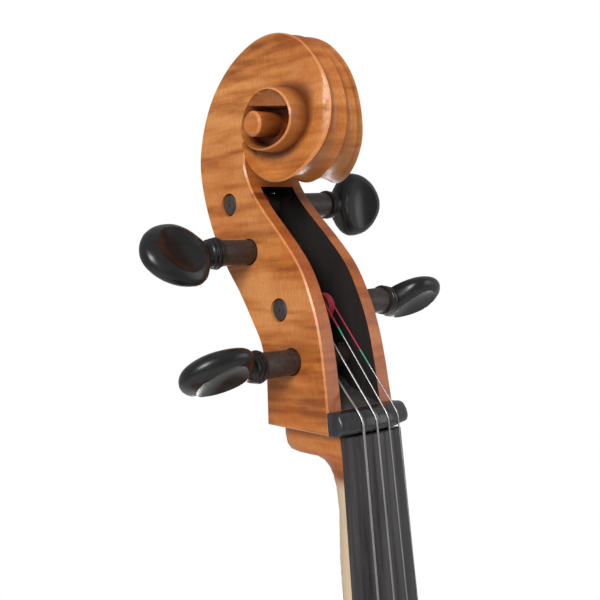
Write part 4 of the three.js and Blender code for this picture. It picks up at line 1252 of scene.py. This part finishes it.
def f_hole(side):
    """The outline of a sound hole: two edges of the stem between a small and a large eye."""
    steps = 40
    line = bezier(STEM, steps)
    edges = []
    for way in (1, -1):
        edge = []
        for i, p in enumerate(line):
            along = (line[min(i + 1, steps)] - line[max(i - 1, 0)]).normalized()
            half = 1.6 + 2 * math.sin(math.pi * i / steps)
            if abs(i - steps // 2) < 1:
                half += 1.6
            q = p + Vector((-way * along.y, way * along.x)) * half
            if all((q - centre).length > radius for centre, radius in EYES):
                edge.append(q)
        edges.append(edge)

    def round_eye(centre, radius, start, end):
        first = math.atan2(start.y - centre.y, start.x - centre.x)
        sweep = (math.atan2(end.y - centre.y, end.x - centre.x) - first) % (2 * math.pi)
        sweep = sweep if sweep > math.pi else sweep - 2 * math.pi
        turn = [first + sweep * (k + 0.5) / 22 for k in range(22)]
        return [centre + radius * spoke(a) for a in turn]

    down, up = edges[0], edges[1][::-1]
    loop = down + round_eye(*EYES[1], down[-1], up[0]) + up + round_eye(*EYES[0], up[-1], down[0])
    return [Vector((side * p.x, p.y)) for p in loop]


# from the rib side up: how far in from the edge, and how high
RIM_PROFILE = [(0.35, 0.35), (0, 1.2), (0, EDGE_THICKNESS - 1.6), (0.35, EDGE_THICKNESS - 0.6)]


def plate(name, face, outward, edge, holes, skin_wood, inner_wood):
    """An arched plate from its flat inner rim to its rounded outer edge."""
    rim = offset(edge, 1.2)
    size = len(rim)
    flat, triangles = triangulated([rim, *holes], spacing=lambda x, y: 5.0)
    verts, faces, kinds = [], [], []
    for level in (0, 1):
        for x, z in flat:
            if level:
                height = plate_height(x, z)
            else:
                height = arch(inward_share(x, z), z, 0, ARCH_HEIGHT - PLATE_THICKNESS)
            verts.append((x, face + outward * height, z))
        for t in triangles:
            faces.append(tuple(level * len(flat) + i for i in t))
            kinds.append(0 if level else 1)
    # the rounded rim between the two faces
    before = 0
    for inset, height in RIM_PROFILE:
        faces += strip(before, len(verts), size)
        before = len(verts)
        verts += [(p.x, face + outward * height, p.y) for p in offset(edge, inset)]
    faces += strip(before, len(flat), size)
    start = size
    for hole in holes:
        faces += strip(start, len(flat) + start, len(hole))
        start += len(hole)
    kinds += [0] * (len(faces) - len(kinds))
    obj = make(name, verts, faces, BODY)
    return outward_facing(paint(obj, skin_wood, inner_wood, kinds=kinds))


def box_tool(low, high, frame=BODY):
    """A box between two opposite corners, to cut with."""
    (x0, y0, z0), (x1, y1, z1) = low, high
    ring = [(x0, y0), (x1, y0), (x1, y1), (x0, y1)]
    ends = [[(x, y, z) for x, y in ring] for z in (z0, z1)]
    return outward_facing(make("tool", *skin(ends), frame))


def purfling(name, face, outward, edge, slot):
    """Dark, pale and dark strips let into the surface beside the edge."""
    lines = [offset(edge, inset) for inset in (4.0, 4.5, 5.3, 5.8)]
    verts = []
    for depth in (0.07, -0.6):
        for p in sum(lines, []):
            verts.append((p.x, face + outward * (plate_height(*p) + depth), p.y))
    # three strips on top and three underneath, then the two sides
    faces, kinds = [], []
    for a, b in ((0, 1), (1, 2), (2, 3), (4, 5), (5, 6), (6, 7), (0, 4), (3, 7)):
        faces += strip(a * len(edge), b * len(edge), len(edge))
        kinds += [int((a, b) in ((1, 2), (5, 6)))] * len(edge)
    obj = paint(make(name, verts, faces, BODY), PURFLING_DARK, PURFLING_PALE, kinds=kinds)
    attach(shade(outward_facing(obj), 40), slot)


def sound_box():
    """Belly, back, purfling, ribs and linings."""
    front = plate("belly", RIB_FRONT, -1, EDGE, [f_hole(-1), f_hole(1)], SPRUCE, INNER_SPRUCE)
    for_saddle = box_tool((-20.3, -90, -5), (20.3, 0, 10.3))
    for_root = box_tool((-19.6, -90, 742), (19.6, 0, 770))
    combine(front, "DIFFERENCE", paint(for_saddle, SPRUCE), paint(for_root, SPRUCE))
    attach(shade(front, 35), "varnished_spruce", "top_plate")
    # the back carries the button under the neck's root
    button = [Vector((0, 756)) + 15 * spoke(a) for a in np.linspace(-0.1, math.pi + 0.1, 19)]
    highest = [i for i, p in enumerate(EDGE) if p.y > 740 and abs(p.x) < 16.5]
    back_edge = EDGE[: highest[0]] + button + EDGE[highest[-1] + 1 :]
    back = plate("back", RIB_BACK, 1, back_edge, [], BACK_MAPLE, BARE_MAPLE)
    attach(shade(back, 35), "varnished_maple", "back_plate")
    purfling("purfling_belly", RIB_FRONT, -1, EDGE, "varnished_spruce")
    purfling("purfling_back", RIB_BACK, 1, EDGE, "varnished_maple")
    rib_y = (RIB_FRONT + GLUE_GAP, RIB_BACK - GLUE_GAP)
    deep, high = LINING
    lined = {"front": (rib_y[0], RIB_FRONT + high), "back": (RIB_BACK - high, rib_y[1])}
    for side_name, side in (("bass", -1), ("treble", 1)):
        for bout, (ends, lining_ends) in BOUT_ENDS.items():
            name = f"{bout}_rib_{side_name}"
            shape = band(bout, side, ends, OVERHANG, RIB_THICKNESS, rib_y)
            rib = paint(outward_facing(make(f"rib_{bout}_{side_name}", *shape, BODY)), BACK_MAPLE)
            if bout == "lower":
                hole = lathe([(-20, 12.8), (20, 12.8)], 40, "Z")
                tool = paint(outward_facing(make("hole", *hole, BODY)), BACK_MAPLE)
                combine(rib, "DIFFERENCE", tool)
            attach(shade(rib, 40), "varnished_maple", name)
            for face, span in lined.items():
                name = f"{bout}_lining_{face}_{side_name}"
                inset = OVERHANG + RIB_THICKNESS + GLUE_GAP
                shape = band(bout, side, lining_ends, inset, deep, span)
                piece(f"bent_{name}", shape, BODY, INNER_SPRUCE, 40, "bare_spruce", name)


# how far from its two ends each bout's rib stops, and its linings
BOUT_ENDS = {
    "lower": ((0.4, 4), (64, 32)),
    "waist": ((4, 4), (32, 32)),
    "upper": ((4, 20), (32, 64)),
}
# how thick and how high a lining is
LINING = (2.4, 11)


def band(bout, side, trims, inset, thickness, span):
    """Vertices and faces of a strip bent along a bout: a rib, or a lining inside it."""
    line = BOUTS[bout]
    lengths = [0.0]
    for a, b in zip(line, line[1:]):
        lengths.append(lengths[-1] + (b - a).length)
    low, high = trims[0], lengths[-1] - trims[1]
    steps = [low, *(length for length in lengths if low + 0.3 < length < high - 0.3), high]
    rings = []
    for length in steps:
        i = max(k for k in range(len(line) - 1) if lengths[k] <= length + 1e-6)
        share = (length - lengths[i]) / (lengths[i + 1] - lengths[i])
        point = line[i].lerp(line[i + 1], share)
        ahead = line[min(i + 2, len(line) - 1)] - line[max(i - 1, 0)]
        inward = Vector((-ahead.y, ahead.x)).normalized()
        outer, inner = point + inward * inset, point + inward * (inset + thickness)
        low_y, high_y = span
        ring = [(outer, low_y), (outer, (low_y + high_y) / 2), (outer, high_y)]
        ring += [(inner, high_y), (inner, low_y)]
        rings.append([(side * place.x, y, place.y) for place, y in ring])
    return skin(rings)


# the wing above the leg: place and height above the belly, up to the crest
BRIDGE_WING = [(43.6, 40), (42.4, 43), (39, 42.5), (37.8, 46), (40.5, 49), (39, 54), (34, 60)]
# the bridge's notches are 1.2 wires wide, where the nut's are 1.5
BRIDGE_WIRES = {name: wire * 0.8 for name, wire in SHOWN_DIAMETER.items()}


def bridge():
    """Two feet on the belly, legs, waist, heart, kidneys and a crest with string notches."""
    belly = RIB_FRONT - ARCH_HEIGHT

    def foot(x):
        height = arch(inward_share(x, BRIDGE_Z), BRIDGE_Z, EDGE_THICKNESS, ARCH_HEIGHT)
        return RIB_FRONT - height - 0.8

    half = [(24, foot(24)), (34, foot(34)), (45, foot(45)), (45.4, foot(45) - 3.5)]
    leg = [(36.5, belly - 14), (35.5, belly - 26), (42, belly - 36)]
    half += spline([(42, foot(44) - 6), *leg], 6)
    half += [(x, belly - up) for x, up in BRIDGE_WING]
    crest = []
    for x in np.linspace(29, -29, 117):
        crest.append((x, bridge_crest(x) + 0.45 + notch(x, BRIDGE_SPACING, BRIDGE_WIRES, 0.8)))
    rising = [(x, belly - up) for x, up in ((-24, 9), (-20, 14), (-12, 22.5))]
    falling = [(-x, y) for x, y in reversed(rising)]
    archway = spline([*rising, (0, belly - 26.5), *falling], 5)
    outline = half + crest + [(-x, y) for x, y in reversed(half)] + archway
    outline = [Vector(p) for p in outline]

    def hole(cx, up, rx, ry, lean=0.0, heart=0.0):
        turn = Matrix.Rotation(lean, 2)
        loop = []
        for a in circle(36):
            x, y = rx * math.cos(a), ry * math.sin(a)
            x *= 1 + heart * math.sin(a) * 0.5
            y += heart * 2.2 * max(0.0, 1 - abs(x) / rx) * (1 if math.sin(a) < 0 else 0)
            loop.append(Vector((cx, belly - up)) + turn @ Vector((x, y)))
        return loop

    heart = hole(0, 57, 6, 7, heart=-0.7)
    kidneys = [hole(-25.5, 47, 7.5, 4.2, 0.35), hole(25.5, 47, 7.5, 4.2, -0.35)]
    holes = [heart, *kidneys]
    flat, triangles = triangulated([outline, *holes], spacing=lambda x, y: 2.5)
    verts, faces = [], []
    for way in (-0.5, 0.5):
        for x, y in flat:
            share = (RIB_FRONT - y) / (RIB_FRONT - BRIDGE_TOP)
            verts.append((x, y, BRIDGE_Z + way * lerp(*BRIDGE_THICK, share)))
    count = len(flat)
    faces += [tuple(t) for t in triangles] + [tuple(count + i for i in t) for t in triangles]
    start = 0
    for loop in [outline, *holes]:
        faces += strip(start, count + start, len(loop))
        start += len(loop)
    obj = outward_facing(make("bridge_carved", verts, faces, BODY))
    rounded(obj, 0.4, 50)
    attach(shade(paint(obj, BRIDGE_WOOD), 35), "bridge_maple", "bridge")


# the radius of the cord's loop round the endpin's collar
CORD_LOOP = 14.7


def tail():
    """Tailpiece with its fine tuners, the cord that holds it, and the saddle."""
    rings = []
    for z in [14, 14.8, 17, 22, *np.linspace(30, 238, 27), 244, 246.4, 247]:
        half = lerp(15, 29, clamp((z - 22) / 225)) - 3.4 * (1 - math.sqrt(clamp((z - 14) / 8)))
        trim = 0.8 if z in (14, 247) else 0.25 if z in (14.8, 246.4) else 0.0
        ridge = 0.9 * math.exp(-(((z - 229) / 1.6) ** 2))
        ring = []
        for a in np.linspace(0, math.pi, 25):
            c, r = math.cos(a), math.sin(a)
            ring.append(((half - trim) * c, 1.6 - (6.1 + ridge - trim) * r**0.8, z))
        wide, low = half - trim, 6.9 - trim
        ring += [(-wide, 5.8, z), (1 - wide, low, z), (wide - 1, low, z), (wide, 5.8, z)]
        rings.append(ring)
    obj = outward_facing(make("tailpiece_ebony", *skin(rings), TAIL))
    tools = []
    for i in range(4):
        x = across(i, TUNER_SPACING)
        tools.append(box_tool((x - 2, -20, SCREW_Z + 6), (x + 2, 20, TAIL_END + 5), TAIL))
        tools.append(box_tool((x - 2, 1.5, SCREW_Z - 7), (x + 2, 20, TAIL_END + 5), TAIL))
        spot = TAIL @ Matrix.Translation((x, 0, SCREW_Z))
        tools.append(outward_facing(make("tool", *lathe([(-20, 1.9), (20, 1.9)], 24, "Y"), spot)))
    combine(obj, "DIFFERENCE", *[paint(tool, EBONY) for tool in tools])
    attach(shade(paint(obj, EBONY), 35), "ebony", "tailpiece")
    for i, name in enumerate(STRINGS):
        tuner(name, across(i, TUNER_SPACING))

    back, top = RIB_FRONT - GLUE_GAP, SADDLE_TOP + 0.9
    curve = [(4.4, 9.9), (1.6, 8.6), (0.2, 5.4), (0.1, 1.6), (1.4, -0.5), (4, -1)]
    section = [(back, 10), *spline([(top + y, z) for y, z in curve], 4), (back, 0.2)]
    rings = []
    for x in (-20, -19.5, -18.6, *np.linspace(-16, 16, 9), 18.6, 19.5, 20):
        trim = {20: 0.6, 19.5: 0.15}.get(abs(x), 0.0)
        rings.append([(x, min(back, y + trim), z) for y, z in section])
    piece("saddle_ebony", skin(rings), BODY, EBONY, 35, "ebony", "saddle")

    # up to the tailpiece, along the body's end and round the collar; the other side is a mirror
    low = -3.6
    rise = [(-3.6, 14.2), (-1.5, 8), (-0.9, 3), (-0.2, -0.6), (2.2, -3), (8, low)]
    path = [(-7, SADDLE_TOP + y, z) for y, z in rise]
    for k in (0.3, 0.6, 0.85):
        path.append((-7 - 3.8 * smooth(0, 1, k), lerp(SADDLE_TOP + 8, -14, k), low))
    for a in np.linspace(math.pi * 1.12, math.pi * 1.5, 6):
        path.append((CORD_LOOP * math.cos(a), -CORD_LOOP * math.sin(a), low))
    path += [(-x, y, z) for x, y, z in reversed(path[:-1])]
    cord = tube(spline(path, 5), 1.45, 12)
    piece("tail_cord_braided", cord, BODY, BRAID, 60, "tail_cord", "tail_cord")


# the lever's side view: place across the tailpiece, and along it from the pivot or the screw
LEVER_TOP = [(-7.5, 1.4), (-7.6, 5.6), (-5, 9.4), (1, 7.8), (6.1, 2.6), (6.5, -6)]
LEVER_FOOT = [(6.5, -4.4), (5.2, -5), (3.9, -4.2)]
LEVER_INSIDE = [(3.9, -9), (3.2, -4), (-0.4, -1.6), (-3.4, 0.6)]
SCREW_HEAD = [
    (-8, 1.6), (-8.5, 4.0), (-9.2, 4.5), (-9.4, 4.6), (-14.4, 4.6), (-14.8, 4.2), (-15.4, 3.4),
    (-15.9, 2.2), (-16, 0.4),
]


def tuner(name, x):
    """A fine tuner: a lever in the tailpiece's slot, and the screw that tilts it."""
    sides = ((LEVER_TOP, PIVOT_Z), (LEVER_FOOT, SCREW_Z), (LEVER_INSIDE, PIVOT_Z))
    outline = spline([(y, at + z) for points, at in sides for y, z in points], 4, closed=True)
    rings = [[(x + side, p.x, p.y) for p in outline] for side in (-1.5, 1.5)]
    lever = rounded(outward_facing(make(f"lever_{name}", *skin(rings), TAIL)), 0.3, 60)
    node = f"tuner_lever_{name}"
    attach(shade(paint(lever, NICKEL), 40), "nickel", node, body=node)
    profile = [(3.4, 0.5), (3.4, 1.2), (2.8, 1.6)]
    for k in range(12):
        profile += [(2.2 - k * 0.8, 1.35), (1.8 - k * 0.8, 1.6)]
    rings = []
    for ring in turn_rings(profile + SCREW_HEAD, 36, knurl=0.16, above=4.4):
        rings.append([(x + c, along, SCREW_Z + s) for along, c, s in ring])
    node = f"tuner_screw_{name}"
    piece(f"screw_{name}", skin(rings), TAIL, NICKEL, 30, "nickel", node, node)


# the endpin's turned pieces as (along, radius) profiles
COLLAR_THROAT = [(-25, 5.3), (-25, 9.6), (-24.4, 10.6), (-22.6, 12), (-19, 12), (-18.6, 11.6)]
COLLAR_FLANGE = [(-18.2, 12), (-11.4, 12), (-10.6, 13.5), (-9.6, 16.4), (-8.4, 17.4), (-7, 17.4)]
COLLAR_PLUG = [(-6, 16.6), (-5.5, 12.1), (30, 12.1), (30, 5.3)]
ROD = [(-38, 3.6), (-37, 4.6), (-36, 5), (461.4, 5), (462, 4.4)]
TIP_FOOT = [(-45, 5.8), (-45, 6.6), (-44.6, 7.4), (-43.4, 8.8)]
TIP_TOP = [(-37.6, 9), (-36, 8.8), (-30, 7.5), (-28.4, 7.0), (-28, 6.5), (-28, 5.3)]
TIP_BORE = [(-38.3, 5.3), (-38.3, 0.5)]
THUMB_SCREW = [(5.4, 1.6), (5.8, 2.5), (13.4, 2.5), (14.2, 4.6), (15, 5.6), (16.4, 6.8), (17, 7)]
THUMB_SCREW += [(23, 7), (23.7, 6.7), (24.6, 5.4), (25, 3.8), (25, 0.5)]
THUMB_SCREW_Z = -17


def endpin():
    """Collar in the bottom block, sliding rod, rubber tip and thumb screw."""
    profile = COLLAR_THROAT + COLLAR_FLANGE + COLLAR_PLUG
    rings = [[(c, s, along) for along, c, s in ring] for ring in turn_rings(profile, 48)]
    verts, faces = skin(rings, caps=False)
    faces += strip(len(verts) - 48, 0, 48)
    collar = outward_facing(make("collar_turned", verts, faces, BODY))
    spot = BODY @ Matrix.Translation((0, 0, THUMB_SCREW_Z))
    tool = outward_facing(make("tool", *lathe([(0, 2.9), (40, 2.9)], 24), spot))
    combine(collar, "DIFFERENCE", paint(tool, EBONY))
    attach(shade(paint(collar, EBONY), 35), "ebony", "endpin_collar")

    rod = lathe(ROD, 40, "Z")
    piece("rod_steel", rod, BODY, NICKEL, 30, "nickel", "endpin_rod", "endpin")
    ribbed = []
    for z in (-42.6, -41.0, -39.4):
        ribbed += [(z, 9.0), (z + 0.5, 8.5), (z + 1.0, 9.0)]
    tip = lathe(TIP_FOOT + ribbed + TIP_TOP + TIP_BORE, 40, "Z")
    piece("tip_rubber", tip, BODY, RUBBER, 35, "rubber", "endpin_tip", "endpin")
    knurled = turn_rings(THUMB_SCREW, 40, knurl=0.22, above=6.75)
    rings = [[(along, c, THUMB_SCREW_Z + s) for along, c, s in ring] for ring in knurled]
    thumb_screw = ("endpin_thumb_screw", "thumb_screw")
    piece("thumb_screw_knurled", skin(rings), BODY, NICKEL, 30, "nickel", *thumb_screw)


head()
for peg_name in PEGS:
    peg(peg_name)
nut()
fingerboard()
neck()
for string_index, string_name in enumerate(STRINGS):
    string(string_index, string_name)
sound_box()
bridge()
tail()
endpin()

# Camera: the neck frame holds its place and its axes
CAMERA_AT = Vector((-365.136, -340.594, 68.795))
CAMERA_RIGHT = Vector((0.71629, -0.69245, -0.08627))
CAMERA_DOWN = Vector((-0.06637, 0.05546, -0.99625))
LENS = 61.69
AMBIENT = 0.42


def camera():
    """The photographer's place, given in the neck's frame."""
    data = bpy.data.cameras.new("camera")
    data.lens = LENS
    data.sensor_width = 36
    data.clip_end = 50
    obj = bpy.data.objects.new("camera", data)
    bpy.context.scene.collection.objects.link(obj)
    right = CAMERA_RIGHT.normalized()
    up = -CAMERA_DOWN
    up = (up - right * up.dot(right)).normalized()
    turn = Matrix((right, up, right.cross(up))).transposed().to_4x4()
    place = NECK @ Matrix.Translation(CAMERA_AT) @ turn
    place.translation *= 0.001
    obj.matrix_world = place
    bpy.context.scene.camera = obj


def lamp(name, at, height, size, power):
    """A rectangular lamp that faces the cello at a height."""
    data = bpy.data.lights.new(name, "AREA")
    data.shape = "RECTANGLE"
    data.size, data.size_y = size
    data.energy = power
    obj = bpy.data.objects.new(name, data)
    bpy.context.scene.collection.objects.link(obj)
    obj.location = at
    towards = Vector((0, 0, height)) - obj.location
    obj.rotation_euler = towards.to_track_quat("-Z", "Y").to_euler()


def studio():
    """A pale floor, a white surround and three lamps."""
    s = Shader("floor_pale")
    mottle = s.noise(s.mapped(), 3, 3)
    s.finish(s.ramp(mottle, (0.3, (0.80, 0.80, 0.79)), (0.7, (0.86, 0.86, 0.855))), 0.7)
    floor = paint(make("floor", *lathe([(-30, 2000), (-0.5, 2000)], 64, "Z")), s.material)
    world = bpy.data.worlds.new("studio")
    bpy.context.scene.world = world
    world.use_nodes = True
    # a white backdrop for the camera, and softer light from it on the cello
    background = world.node_tree.nodes["Background"].inputs
    background["Color"].default_value = (1, 1, 1, 1)
    seen = world.node_tree.nodes.new("ShaderNodeLightPath").outputs["Is Camera Ray"]
    strength = world.node_tree.nodes.new("ShaderNodeMapRange")
    world.node_tree.links.new(seen, strength.inputs["Value"])
    strength.inputs["To Min"].default_value = AMBIENT
    world.node_tree.links.new(strength.outputs["Result"], background["Strength"])
    lamp("key", (-2.4, -1.2, 2.5), 1.1, (1.2, 1.2), 95)
    lamp("fill", (1.9, -1.9, 1.6), 1.1, (1.2, 1.8), 14)
    lamp("rim", (1.8, 1.45, 0.4), 1.15, (1.2, 1.2), 22)


camera()
studio()

FINISHES = {
    "varnished_maple": MAPLE,
    "varnished_spruce": SPRUCE,
    "bare_maple": BARE_MAPLE,
    "bare_spruce": INNER_SPRUCE,
    "ebony": EBONY,
    "peg_wood": PEG,
    "bridge_maple": BRIDGE_WOOD,
    "string_steel": STEEL,
    "nickel": NICKEL,
    "red_silk": RED_SILK,
    "rubber": RUBBER,
    "tail_cord": BRAID,
}
for part in frame["record"]["subparts"]:
    paint(frame["nodes"][part["node"]], FINISHES[part["material_slot"]])
